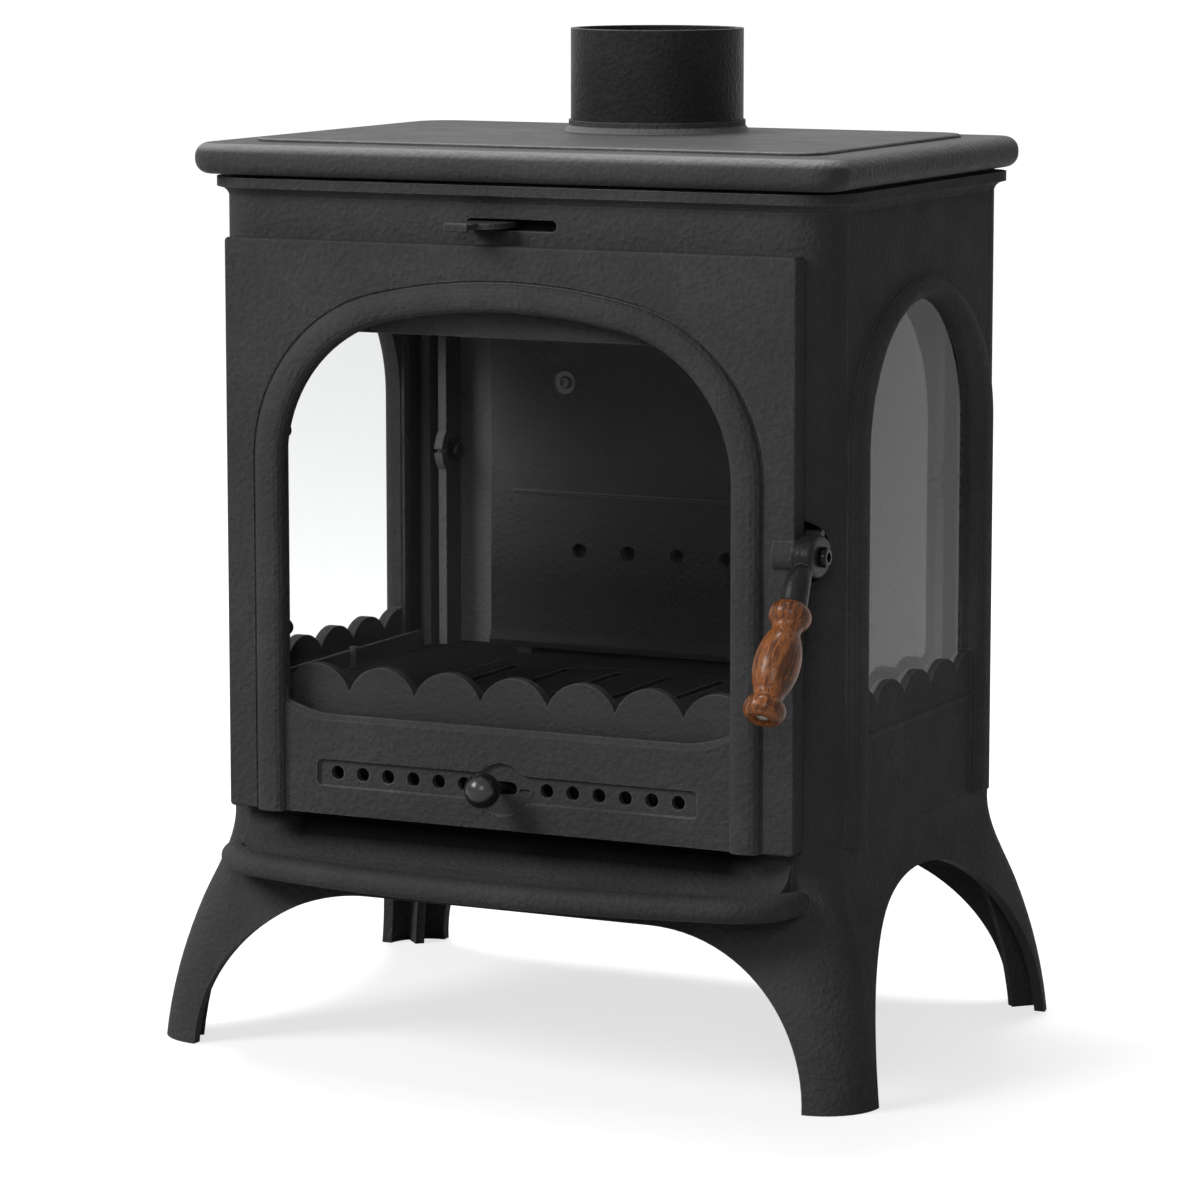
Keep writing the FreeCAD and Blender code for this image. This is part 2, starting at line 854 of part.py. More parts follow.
def ash_lip():
    """The shelf below the door: a round nose, a raised rim and a hollow that rises to the back."""
    shelf = slab(lip_path(0), on_plan(lip_foot), at(0, 0, lip_top - lip_foot))
    nose = []
    for edge in shelf.Edges:
        middle = edge.CenterOfMass
        level = edge.BoundBox.ZLength < pin_gap
        if level and edge.BoundBox.YMin < lip_back - overrun:
            nose.append(edge)
    shelf = shelf.makeFillet(lip_nose_radius, nose)
    tray = slab(lip_path(lip_rim_width), on_plan(lip_top - lip_tray_depth), at(0, 0, seam_height))
    under = slab(lip_path(lip_rim_width), on_plan(0), at(0, 0, lip_top - lip_tray_depth - wall))
    tray_floor = lip_top - lip_tray_depth
    rise_foot = (lip_back - lip_rise_reach, tray_floor)
    rise_top = (lip_back - wall / 2, lip_rise_top)
    along, up = lip_rise_bend_shares
    bend = (lip_back - lip_rise_reach * along, tray_floor + (lip_rise_top - tray_floor) * up)
    rise_under = tray_floor - bite
    rise_path = [
        (rise_foot, bend, rise_top), (rise_top, (lip_back, lip_rise_top)),
        ((lip_back, lip_rise_top), (lip_back, rise_under)),
        ((lip_back, rise_under), (rise_foot[0], rise_under)),
        ((rise_foot[0], rise_under), rise_foot)]
    reach = half_width
    rise = slab(rise_path, on_side(-reach), at(2 * reach, 0, 0))
    rise = rise.common(slab(lip_path(lip_rim_width - bite), on_plan(0), at(0, 0, seam_height)))
    return shelf.cut(tray).cut(under).fuse(rise)


def base_stand():
    """Flared skirt cut by arches into four corner legs, with the ash lip and the top flange."""
    shell = skirt(0).cut(skirt(wall))
    outer = slab(body_path(-bite), on_plan(seam_height - wall), at(0, 0, wall))
    inner = slab(body_path(-stand_flange), on_plan(0), at(0, 0, seam_height))
    flange = outer.cut(inner)
    stand = shell.multiFuse([flange] + leg_ribs())
    for cut in leg_arches():
        stand = stand.cut(cut)
    stand = stand.fuse(ash_lip())
    holes = []
    for x, y in tie_places():
        holes.append(rod(at(x, y, 0), z_way, tie_radius + rest_gap, seam_height))
        holes.append(rod(at(x, y, 0), z_way, tie_nut_radius + tie_passage, seam_height - wall))
    return stand.cut(Part.makeCompound(holes)).removeSplitter()


def bottom_plate():
    """The floor of the ash room, on the stand's flange."""
    plate = slab(body_path(-wall - floor_clearance), on_plan(seam_height), at(0, 0, floor_thickness))
    return plate.cut(tie_passages(seam_height, floor_top))


def pocket_room(radius, left):
    """A round space about the handle's pivot, from a plane outwards."""
    return rod(at(left, pivot_y, pivot_z), x_way, radius, half_width - left + overrun)


def catch_pin_centre():
    turn = math.radians(catch_pin_angle)
    return at(
        pocket_left, pivot_y + catch_pin_distance * math.cos(turn),
        pivot_z + catch_pin_distance * math.sin(turn))


def latch_pocket_housing():
    """The closed back of the latch pocket inside the right column."""
    housing = pocket_room(pocket_radius + pocket_wall, pocket_left - catch_pin_root - pocket_wall)
    outline = slab(body_path(), on_plan(body_foot), at(0, 0, body_top - body_foot))
    return housing.common(outline)


def hinge_lug(foot):
    """A hinge eye on a short web that stands out of the left column."""
    eye = rod(at(hinge_x, hinge_y, foot), z_way, hinge_eye_radius, hinge_lug_height)
    web = box(
        hinge_x - hinge_web / 2, hinge_x + hinge_web / 2, hinge_y, front_inner,
        foot, foot + hinge_lug_height)
    return eye.fuse(web)


def front_plate(ring):
    """The front casting: both openings, the airwash slot, hinge lugs and the latch pocket."""
    far = half_width + cornice_proud + overrun
    half = box(-far, far, body_front - far, side_front_edge - seam_gap, 0, top_face)
    plate = ring.common(half)
    added = [latch_pocket_housing()]
    for foot in hinge_lug_feet:
        added.append(hinge_lug(foot))
    lap_outer = side_inner - seam_gap
    lap = box(
        lap_outer - lap_thickness, lap_outer, side_front_edge - lap_width, side_front_edge + lap_width,
        lap_foot, body_top)
    added.extend(both_sides(lap))
    plate = plate.multiFuse(added)
    through = at(0, wall + 2 * overrun, 0)
    start = body_front - overrun
    fire = slab(
        round_box_path(
            -fire_half_width, fire_half_width, front_scallop_valley, fire_top, least_corner,
            fire_corner_radius),
        on_front(start), through)
    ash = slab(
        round_box_path(
            -ash_half_width, ash_half_width, ash_foot, ash_top, ash_corner_radius, ash_corner_radius),
        on_front(start), through)
    slot_half = airwash_slot_height / 2
    slot = slab(
        round_box_path(
            airwash_slot_left, airwash_slot_right, airwash_slot_middle - slot_half,
            airwash_slot_middle + slot_half, slot_half - pin_gap, slot_half - pin_gap),
        on_front(start), through)
    plate = plate.cut(fire).cut(ash).cut(slot)
    scallop_pitch = 2 * fire_half_width / front_scallop_count
    plate = plate.fuse(bumps(
        on_front(body_front), at(0, wall, 0), 0, scallop_pitch, front_scallop_count,
        front_scallop_valley, front_scallop_crest))
    pin_hole = rod(
        catch_pin_centre() - x_way * catch_pin_root, x_way, catch_pin_radius + pin_gap, catch_pin_root)
    plate = plate.cut(pocket_room(pocket_radius, pocket_left)).cut(pin_hole)
    for foot in hinge_lug_feet:
        plate = plate.cut(rod(
            at(hinge_x, hinge_y, foot), z_way, hinge_pin_radius + pin_gap, hinge_lug_height))
    return plate.removeSplitter()


def latch_pin():
    return rod(
        catch_pin_centre() - x_way * catch_pin_root, x_way, catch_pin_radius,
        catch_pin_root + catch_pin_reach)


def hinge_pins():
    pins = []
    for foot in hinge_lug_feet:
        length = hinge_lug_height + hinge_washer_thickness + hinge_pin_rise
        head = rod(
            at(hinge_x, hinge_y, foot - clip_thickness), z_way, hinge_pin_head, clip_thickness)
        pins.append(head.fuse(rod(at(hinge_x, hinge_y, foot), z_way, hinge_pin_radius, length)))
    return pins


def hinge_washers():
    washers = []
    for foot in hinge_lug_feet:
        start = at(hinge_x, hinge_y, foot + hinge_lug_height)
        disc = rod(start, z_way, hinge_eye_radius, hinge_washer_thickness)
        washers.append(disc.cut(rod(start, z_way, hinge_pin_radius + pin_gap, hinge_washer_thickness)))
    return washers


def side_clip_places():
    """Screw centres (y, z) of the side glass clips, with the way each clip points."""
    front = side_window_middle - side_window_half - glass_margin - clip_boss_gap
    top = side_glass_top + clip_boss_gap
    return [
        (front, side_clip_height, 1, 0),
        (side_window_middle - side_clip_top_spread, top, 0, -1),
        (side_window_middle + side_clip_top_spread, top, 0, -1)]


def side_bead_at(inset):
    return arch_path(
        side_window_middle, side_bead_half, body_foot, side_bead_spring, side_bead_rise,
        side_bead_shoulder, inset)


def side_opening_at(inset, foot):
    return arch_path(
        side_window_middle, side_window_half, foot, side_window_spring, side_window_rise,
        side_window_shoulder, inset)


def side_panel(ring):
    """The right side casting: arched window, rolled bead, scalloped sill and inner ledges."""
    far = half_width + cornice_proud + overrun
    half = box(half_width / 2, far, side_front_edge, side_rear_edge, 0, top_face)
    panel = ring.common(half)
    bead = rolled(side_bead_at, on_side, half_width, 1, side_bead_roll, side_bead_proud, bite)
    open_foot = body_foot - overrun
    hollow_wires = []
    for width_share, height_share in roll_shares:
        inset = -side_bead_inner_roll * width_share
        level = half_width + side_bead_proud * height_share
        hollow_wires.append(wire(side_opening_at(inset, open_foot), on_side(level)))
    hollow_wires.append(wire(
        side_opening_at(-side_bead_inner_roll, open_foot), on_side(half_width + side_bead_proud + bite)))
    bead = bead.cut(Part.makeLoft(hollow_wires, True, True))
    window = slab(
        side_opening_at(0, side_scallop_valley), on_side(side_inner - overrun),
        at(wall + side_bead_proud + 2 * overrun, 0, 0))
    panel = panel.fuse(bead).cut(window)
    scallops = bumps(
        on_side(side_inner), at(wall, 0, 0), side_window_middle, side_scallop_pitch,
        side_scallop_count, side_scallop_valley, side_scallop_crest)
    rail_half = side_rail_size / 2
    rail_low = (half_width - bite, side_rail_height - rail_half)
    rail_high = (half_width - bite, side_rail_height + rail_half)
    rail_crown = (half_width + side_rail_proud, side_rail_height)
    rail_half_length = side_window_half + bite
    rail = slab(
        [(rail_low, rail_crown, rail_high), (rail_high, rail_low)],
        lambda u, v: at(u, side_window_middle - rail_half_length, v), at(0, 2 * rail_half_length, 0))
    ledge = box(
        side_inner - baffle_ledge_reach, side_inner + bite, side_front_edge + baffle_ledge_front_gap,
        rear_lap_front - bite, baffle_ledge_foot, baffle_ledge_foot + baffle_ledge_height)
    added = [scallops, rail, ledge]
    holes = []
    for y, z, along, up in side_clip_places():
        added.append(rod(
            at(side_glass_back, y, z), x_way, clip_boss_radius, side_inner - side_glass_back + bite))
        holes.append(rod(
            at(side_glass_back, y, z), x_way, clip_screw_radius + pin_gap, side_inner - side_glass_back))
    return panel.multiFuse(added).cut(Part.makeCompound(holes)).removeSplitter()


def rear_flanges():
    """Inside the right rear corner: the lap strip, the rib and its round bolt lug."""
    strip = box(
        rear_lap_inner, rear_lap_outer, rear_lap_front, back_inner + bite, lap_foot, body_top)
    rib = box(
        rear_rib_inner, rear_rib_outer, rear_rib_front, back_inner + bite, lap_foot, body_top)
    centre = at(rear_rib_inner, rear_lug_y, rear_lug_height)
    lug = rod(centre, x_way, rear_lug_radius, rear_rib_thickness)
    front = rear_lug_y - rear_lug_radius
    notch = box(
        rear_rib_inner, rear_rib_outer, front, front + rear_lug_notch_depth,
        rear_lug_height - rear_lug_notch_height / 2, rear_lug_height + rear_lug_notch_height / 2)
    behind = box(
        rear_rib_inner, rear_rib_outer, back_inner + bite, body_rear + rear_lug_radius,
        rear_lug_height - rear_lug_radius, rear_lug_height + rear_lug_radius)
    return [strip, rib, lug.cut(notch).cut(behind)]


def seam_bolt_bore():
    """The threaded hole through the lug and into the lap strip."""
    start = at(rear_rib_inner, rear_lug_y, rear_lug_height)
    return rod(start, x_way, seam_bolt_radius + pin_gap, rear_lap_outer - rear_rib_inner)


def back_panel(ring):
    """The rear casting with both rear corners, their inner flanges and the liner's bosses."""
    far = half_width + cornice_proud + overrun
    half = box(-far, far, side_rear_edge + seam_gap, body_rear + far, 0, top_face)
    panel = ring.common(half)
    added = []
    for piece in rear_flanges():
        added.extend(both_sides(piece))
    boss = rod(
        at(liner_bolt_x, liner_back, liner_bolt_z), y_way, liner_washer_radius, liner_air_gap + bite)
    added.extend(both_sides(boss))
    panel = panel.multiFuse(added)
    hole = rod(
        at(liner_bolt_x, liner_back, liner_bolt_z), y_way, liner_bolt_radius + pin_gap,
        liner_air_gap + wall)
    return panel.cut(Part.makeCompound(both_sides(hole) + both_sides(seam_bolt_bore()))).removeSplitter()


def seam_bolts():
    start = at(rear_rib_inner - seam_washer_thickness, rear_lug_y, rear_lug_height)
    length = rear_lap_inner + seam_bolt_grip - rear_rib_inner + seam_washer_thickness
    return both_sides(screw(
        start, x_way, seam_bolt_radius, length, seam_bolt_head, seam_bolt_head_height))


def seam_washers():
    start = at(rear_rib_inner - seam_washer_thickness, rear_lug_y, rear_lug_height)
    disc = rod(start, x_way, seam_washer_radius, seam_washer_thickness)
    return both_sides(disc.cut(rod(start, x_way, seam_bolt_radius + pin_gap, seam_washer_thickness)))


def top_path(inset, radius):
    half = top_half - inset
    return round_box_path(-half, half, top_front + inset, top_rear - inset, radius, radius)


def top_plate():
    """The hob casting: bullnose edge, raised middle, collar ring and a hollow underside."""
    plate = slab(top_path(0, top_corner_radius), on_plan(top_foot), at(0, 0, top_thickness))
    rim = [edge for edge in plate.Edges if edge.BoundBox.ZLength < pin_gap]
    plate = plate.makeFillet(top_edge_radius, rim)
    panel = slab(
        top_path(top_panel_inset, top_panel_corner), on_plan(top_face - bite),
        at(0, 0, top_panel_rise + bite))
    panel_rim = [edge for edge in panel.Edges if edge.BoundBox.ZMin > top_face + pin_gap]
    panel = panel.makeFillet(top_panel_edge_radius, panel_rim)
    collar_middle = at(0, flue_y, top_panel_face - bite)
    collar = rod(collar_middle, z_way, collar_radius, collar_height + bite)
    flare = Part.makeCone(
        collar_radius + collar_flare, collar_radius, collar_flare + bite, collar_middle, z_way)
    plate = plate.multiFuse([panel, collar, flare])
    hollow = slab(body_path(-top_hollow_inset), on_plan(0), at(0, 0, top_face - top_web))
    plate = plate.cut(hollow)
    bosses = []
    bores = [rod(at(0, flue_y, 0), z_way, collar_bore, collar_top + overrun)]
    hollow_back = body_rear - top_hollow_inset
    boss_top = top_face - top_web + bite
    for x, y in tie_places():
        bosses.append(rod(at(x, y, top_foot), z_way, tie_boss_radius, boss_top - top_foot))
        if y > body_middle:
            bosses.append(box(
                x - tie_boss_radius, x + tie_boss_radius, y, hollow_back + bite, top_foot, boss_top))
        bores.append(rod(
            at(x, y, 0), z_way, tie_radius + pin_gap, top_foot + tie_top_grip + thread_end_gap))
    for start in collar_bolt_places():
        bores.append(rod(
            start - z_way * (collar_bolt_tang + thread_end_gap), z_way, collar_bolt_radius + pin_gap,
            collar_bolt_tang + overrun))
    return plate.multiFuse(bosses).cut(Part.makeCompound(bores)).removeSplitter()


def collar_bolt_places():
    """Points on the collar's top face where the spigot is bolted down."""
    places = []
    for number in range(collar_bolt_count):
        turn = 2 * math.pi * number / collar_bolt_count
        x = collar_bolt_circle * math.sin(turn)
        y = flue_y - collar_bolt_circle * math.cos(turn)
        places.append(at(x, y, collar_top))
    return places


def flue_spigot():
    """The round spigot for the flue pipe, with an inner foot flange."""
    foot = collar_top
    pipe = rod(at(0, flue_y, foot), z_way, flue_radius, flue_length)
    bore = rod(at(0, flue_y, foot), z_way, flue_radius - flue_wall, flue_length)
    flange = rod(at(0, flue_y, foot), z_way, flue_radius - flue_wall / 2, flue_foot_flange)
    spigot = pipe.cut(bore).fuse(flange)
    cuts = [rod(at(0, flue_y, foot), z_way, collar_bore, flue_foot_flange)]
    for start in collar_bolt_places():
        cuts.append(rod(start, z_way, collar_bolt_radius + pin_gap, flue_foot_flange))
    return spigot.cut(Part.makeCompound(cuts)).removeSplitter()


def spigot_bolts():
    bolts = []
    for place in collar_bolt_places():
        start = place + z_way * flue_foot_flange
        bolts.append(screw(
            start, z_way * -1, collar_bolt_radius, flue_foot_flange + collar_bolt_tang,
            bolt_head_radius, bolt_head_height))
    return bolts


def tie_rods():
    low = seam_height - wall - tie_nut_height - tie_rod_end
    high = top_foot + tie_top_grip
    return [rod(at(x, y, low), z_way, tie_radius, high - low) for x, y in tie_places()]


def tie_nuts():
    nuts = []
    for x, y in tie_places():
        start = at(x, y, seam_height - wall - tie_nut_height)
        nuts.append(hex_nut(start, z_way, tie_nut_radius, tie_nut_height, tie_radius + pin_gap))
    return nuts


def side_glass():
    """The right side window pane."""
    half = side_window_half + glass_margin
    path = round_box_path(
        side_window_middle - half, side_window_middle + half, side_glass_foot, side_glass_top,
        glass_corner_radius, glass_corner_radius)
    return slab(path, on_side(side_glass_back), at(glass_thickness, 0, 0))


def side_glass_seal():
    """The flat seal between the right pane and its casting."""
    paths = []
    for inset in (0, glass_seal_width):
        half = side_window_half + glass_margin - inset
        paths.append(round_box_path(
            side_window_middle - half, side_window_middle + half, side_glass_foot + inset,
            side_glass_top - inset, glass_corner_radius, glass_corner_radius))
    return ring_slab(paths[0], paths[1], on_side(side_glass_face), at(glass_seal, 0, 0))


def two_lobes(start, across, reach, radius, way, thickness):
    """A clip plate: two round lobes a step apart, joined by a narrower neck."""
    first = rod(start, way, radius, thickness)
    second = rod(start + across * reach, way, radius, thickness)
    side = way.cross(across) * (radius * clip_neck_share)
    corners = [start - side, start + side, start + across * reach + side, start + across * reach - side]
    neck = Part.Face(Part.makePolygon(corners + corners[:1])).extrude(way * thickness)
    return joined([first, second, neck])


def side_clips():
    clips = []
    for y, z, along, up in side_clip_places():
        start = at(side_glass_back - clip_thickness, y, z)
        clip = two_lobes(start, at(0, along, up), clip_reach, clip_radius, x_way, clip_thickness)
        clips.append(clip.cut(rod(start, x_way, clip_screw_radius + pin_gap, clip_thickness)))
    return clips


def side_clip_screws():
    screws = []
    for y, z, along, up in side_clip_places():
        start = at(side_glass_back - clip_thickness, y, z)
        screws.append(screw(
            start, x_way, clip_screw_radius,
            clip_thickness + side_inner - side_glass_back - thread_end_gap, clip_screw_head,
            clip_screw_head_height))
    return screws


def glass_ledge():
    """The angle strip that holds the right pane's foot, with its middle post."""
    start = side_window_middle - side_window_half - glass_margin
    length = 2 * (side_window_half + glass_margin)
    inner = side_inner - glass_ledge_depth
    shelf = box(
        inner, side_inner, start, start + length, glass_ledge_foot,
        glass_ledge_foot + glass_ledge_thickness)
    upright = box(
        inner, inner + glass_ledge_thickness, start, start + length, glass_ledge_foot,
        glass_ledge_foot + glass_ledge_height)
    post = rod(
        at(inner - glass_ledge_thickness / 2, side_window_middle, glass_ledge_foot), z_way,
        glass_ledge_thickness, glass_ledge_height + glass_ledge_thickness)
    return joined([shelf, upright, post])


def arch_groove():
    """The fine groove that follows the outside of the door's bead."""
    paths = []
    for inset in (-door_groove_width, 0):
        paths.append(arch_path(
            0, door_bead_half, door_foot - bite, door_bead_spring, door_bead_rise, door_bead_shoulder,
            inset))
    return ring_slab(paths[0], paths[1], on_front(door_face - bite), at(0, door_groove_depth + bite, 0))


def door_window_path(inset):
    """The door's opening: arch above, and a sill whose ends curve up."""
    half = door_window_half - inset
    arch = arch_path(
        0, door_window_half, door_sill, door_window_spring, door_window_rise, door_window_shoulder, inset)
    right_foot = (half, door_sill + door_sill_end_rise)
    left_foot = (-half, door_sill + door_sill_end_rise)
    right_low = (door_sill_straight_half, door_sill + inset)
    left_low = (-door_sill_straight_half, door_sill + inset)
    bend = (door_sill_straight_half + half) / 2
    sag = door_sill + inset + door_sill_end_rise * door_sill_sag_share
    return [
        (left_low, right_low), (right_low, (bend, sag), right_foot), (right_foot, arch[2][0]),
        arch[2], arch[3], arch[4], (arch[4][-1], left_foot), (left_foot, (-bend, sag), left_low)]


def rope_path(outset):
    half = rope_half_width + outset
    return round_box_path(
        -half, half, rope_foot - outset, rope_top + outset, rope_bend + outset, rope_bend + outset)


def door_clip_places():
    """Screw centres (x, z) of the door glass clips, with the way each clip points."""
    side = door_glass_half + door_clip_boss_gap
    places = []
    for height in (door_glass_foot + door_clip_low_rise, door_glass_top - door_clip_high_drop):
        places.append((side, height, -1, 0))
        places.append((-side, height, 1, 0))
    for way in (-1, 1):
        places.append((way * door_clip_top_spread, door_glass_top + door_clip_boss_gap, 0, -1))
        places.append((way * door_clip_top_spread, door_glass_foot - door_clip_boss_gap, 0, 1))
    return places


def air_hole_places():
    places = []
    for number in range(air_hole_count):
        x = air_hole_first + number * air_hole_pitch
        places.extend([x, -x])
    return places


def door_frame():
    """The door casting: rolled arch bead, window, air row, hinge pockets and handle lug."""
    block = slab(
        round_box_path(-door_half, door_half, door_foot, door_top, door_corner_radius, door_corner_radius),
        on_front(door_face), at(0, door_thickness, 0))
    face_rim = [edge for edge in block.Edges if edge.BoundBox.YMax < door_face + pin_gap]
    block = block.makeFillet(door_edge_radius, face_rim)
    recess = slab(rope_path(rope_radius + rest_gap), on_front(door_skin_back), at(0, door_thickness, 0))
    block = block.cut(recess)
    rib = ring_slab(
        rope_path(-rope_radius - rest_gap), rope_path(-rope_radius - rest_gap - rope_rib),
        on_front(door_skin_back), at(0, rope_rib_height, 0))
    bead = rolled(
        lambda inset: arch_path(
            0, door_bead_half, door_foot, door_bead_spring, door_bead_rise, door_bead_shoulder, inset),
        on_front, door_face, -1, door_bead_roll, door_bead_proud, bite)
    open_foot = door_foot - overrun
    wires = []
    for width_share, height_share in roll_shares:
        wires.append(wire(
            arch_path(
                0, door_window_half, open_foot, door_window_spring, door_window_rise,
                door_window_shoulder, -door_bead_inner_roll * width_share),
            on_front(door_face - door_bead_proud * height_share)))
    wires.append(wire(
        arch_path(
            0, door_window_half, open_foot, door_window_spring, door_window_rise,
            door_window_shoulder, -door_bead_inner_roll),
        on_front(door_face - door_bead_proud - bite)))
    bead = bead.cut(Part.makeLoft(wires, True, True))
    lug = rod(
        at(door_half - lug_length, pivot_y, pivot_z), x_way, lug_radius, lug_length)
    lug = lug.common(box(0, door_half, door_face - lug_radius, door_back, 0, door_top))
    door = block.cut(arch_groove()).multiFuse([bead, lug, rib])
    door = door.cut(slab(door_window_path(0), on_front(door_face - bite), at(0, door_thickness, 0)))
    bevel = Part.makeLoft([
        wire(door_window_path(-door_sill_bevel), on_front(door_face)),
        wire(door_window_path(0), on_front(door_face + door_sill_bevel / 2))], True, True)
    sill_zone = box(
        -door_half, door_half, door_face - bite, door_back, door_foot, door_sill + 2 * door_sill_end_rise)
    door = door.cut(bevel.common(sill_zone))
    rebate = box(
        -door_glass_half - bite, door_glass_half + bite, door_skin_back - door_glass_rebate, door_back,
        door_glass_foot - bite, door_glass_top + bite)
    door = door.cut(rebate.common(slab(
        rope_path(-rope_radius - rest_gap - rope_rib), on_front(door_face), at(0, door_thickness, 0))))
    for x, z, along, up in door_clip_places():
        length = door_glass_back - door_skin_back
        door = door.fuse(rod(at(x, door_skin_back - bite, z), y_way, clip_boss_radius, length + bite))
        door = door.cut(rod(
            at(x, door_glass_back, z), y_way * -1, clip_screw_radius + pin_gap, length + wall / 2))
    return hinged(with_air_row(door)).removeSplitter()


def with_air_row(door):
    """Cuts the sunk channel, the round about the knob, the air holes and the stem slot."""
    channel_half = air_channel_height / 2
    end = air_channel_end_radius
    start = door_face - bite
    depth = air_channel_depth + bite
    channel = slab(
        round_box_path(
            -air_channel_half, air_channel_half, air_row_height - channel_half,
            air_row_height + channel_half, end, end),
        on_front(start), at(0, depth, 0))
    middle = air_stem_x + air_round_right
    sink = rod(at(middle, start, air_row_height - air_round_drop), y_way, air_round_radius, depth)
    sunk = channel.fuse(sink)
    meeting = []
    for edge in sunk.Edges:
        across = abs(edge.CenterOfMass.x - middle)
        if edge.BoundBox.YLength > depth / 2 and pin_gap < across < air_round_radius - pin_gap:
            meeting.append(edge)
    door = door.cut(sunk.makeFillet(air_round_blend, meeting))
    cuts = []
    for x in air_hole_places():
        cuts.append(rod(at(x, door_face, air_row_height), y_way, air_hole_radius, door_skin + bite))
    slot_half = air_slot_height / 2
    reach = air_stem_radius + air_slot_end_gap
    cuts.append(slab(
        round_box_path(
            air_stem_x - reach, air_stem_x + air_travel + reach, air_slot_middle - slot_half,
            air_slot_middle + slot_half, slot_half - pin_gap, slot_half - pin_gap),
        on_front(door_face), at(0, door_skin + bite, 0)))
    return door.cut(Part.makeCompound(cuts))


def hinged(door):
    """Rounds the hinge edge, opens the two hinge pockets and bores them, and bores the lug."""
    edge = box(
        -door_half - bite, hinge_x, hinge_y, door_back + bite, door_foot - bite, door_top + bite)
    keep = rod(at(hinge_x, hinge_y, 0), z_way, hinge_edge_radius, door_top + overrun)
    cuts = [edge.cut(keep)]
    for foot in hinge_lug_feet:
        low = foot - hinge_lift_room
        ceiling = foot + hinge_lug_height + hinge_washer_thickness + running_gap
        cuts.append(rod(at(hinge_x, hinge_y, low), z_way, hinge_pocket_radius, ceiling - low))
        cuts.append(rod(
            at(hinge_x, hinge_y, ceiling), z_way, hinge_pin_radius + pin_gap,
            hinge_pin_rise + thread_end_gap))
    cuts.append(rod(
        at(door_half, pivot_y, pivot_z), x_way * -1, pivot_bolt_radius + pin_gap,
        pivot_thread_depth + thread_end_gap))
    return door.cut(Part.makeCompound(cuts))


def door_glass():
    path = round_box_path(
        -door_glass_half, door_glass_half, door_glass_foot, door_glass_top,
        glass_corner_radius, glass_corner_radius)
    return slab(path, on_front(door_glass_front), at(0, glass_thickness, 0))


def door_glass_seal_ring():
    paths = []
    for inset in (0, glass_seal_width):
        half = door_glass_half - inset
        paths.append(round_box_path(
            -half, half, door_glass_foot + inset, door_glass_top - inset,
            glass_corner_radius, glass_corner_radius))
    return ring_slab(
        paths[0], paths[1], on_front(door_glass_front - door_glass_seal), at(0, door_glass_seal, 0))


def door_clips():
    clips = []
    for x, z, along, up in door_clip_places():
        start = at(x, door_glass_back, z)
        clip = two_lobes(
            start, at(along, 0, up), door_clip_reach, door_clip_radius, y_way, clip_thickness)
        clips.append(clip.cut(rod(start, y_way, clip_screw_radius + pin_gap, clip_thickness)))
    return clips


def door_clip_screws():
    screws = []
    for x, z, along, up in door_clip_places():
        start = at(x, door_glass_back + clip_thickness, z)
        length = clip_thickness + door_glass_back - door_skin_back + wall / 2 - thread_end_gap
        screws.append(screw(
            start, y_way * -1, clip_screw_radius, length, clip_screw_head, clip_screw_head_height))
    return screws


def rope_seal():
    """A round rope bent about the door's back, as one closed bar."""
    middle = body_front - rest_gap - rope_radius
    spine = wire(rope_path(0), on_front(middle))
    start = at(0, middle, rope_foot)
    ring = Part.Wire([Part.Circle(start, x_way, rope_radius).toShape()])
    return spine.makePipeShell([ring], True, False)


def guide_pair(x0, x1, middle, half, back, plate, lip_z, lip_y):
    """Two L rails that hold a slide plate against a face, above and below it."""
    rails = []
    for side in (-1, 1):
        edge = middle + side * (half + running_gap)
        outer = edge + side * guide_lip
        inner = edge - side * lip_z
        low, high = min(edge, outer), max(edge, outer)
        rail = box(x0, x1, back, back + plate + 2 * running_gap + lip_y, low, high)
        low, high = min(inner, outer), max(inner, outer)
        face = back + plate + 2 * running_gap
        rails.append(rail.fuse(box(x0, x1, face, face + lip_y, low, high)).removeSplitter())
    return rails


def airwash_guides():
    return guide_pair(
        airwash_plate_left, airwash_plate_right + airwash_travel, airwash_slot_middle,
        airwash_plate_half_height, front_inner, airwash_plate_thickness, guide_lip, guide_thickness)


def air_guides():
    reach = air_slide_half + air_travel
    return guide_pair(
        -reach, reach, air_row_height, air_slide_height / 2, door_skin_back, air_slide_thickness,
        air_guide_lip, air_guide_thickness)


def airwash_slide():
    back = front_inner + running_gap
    plate = box(
        airwash_plate_left, airwash_plate_right, back, back + airwash_plate_thickness,
        airwash_slot_middle - airwash_plate_half_height, airwash_slot_middle + airwash_plate_half_height)
    half = airwash_lever_thickness / 2 + pin_gap
    slot = box(
        airwash_lever_left - pin_gap, airwash_lever_root_right + pin_gap, back - bite,
        back + airwash_plate_thickness + bite, airwash_slot_middle - half, airwash_slot_middle + half)
    return plate.cut(slot)


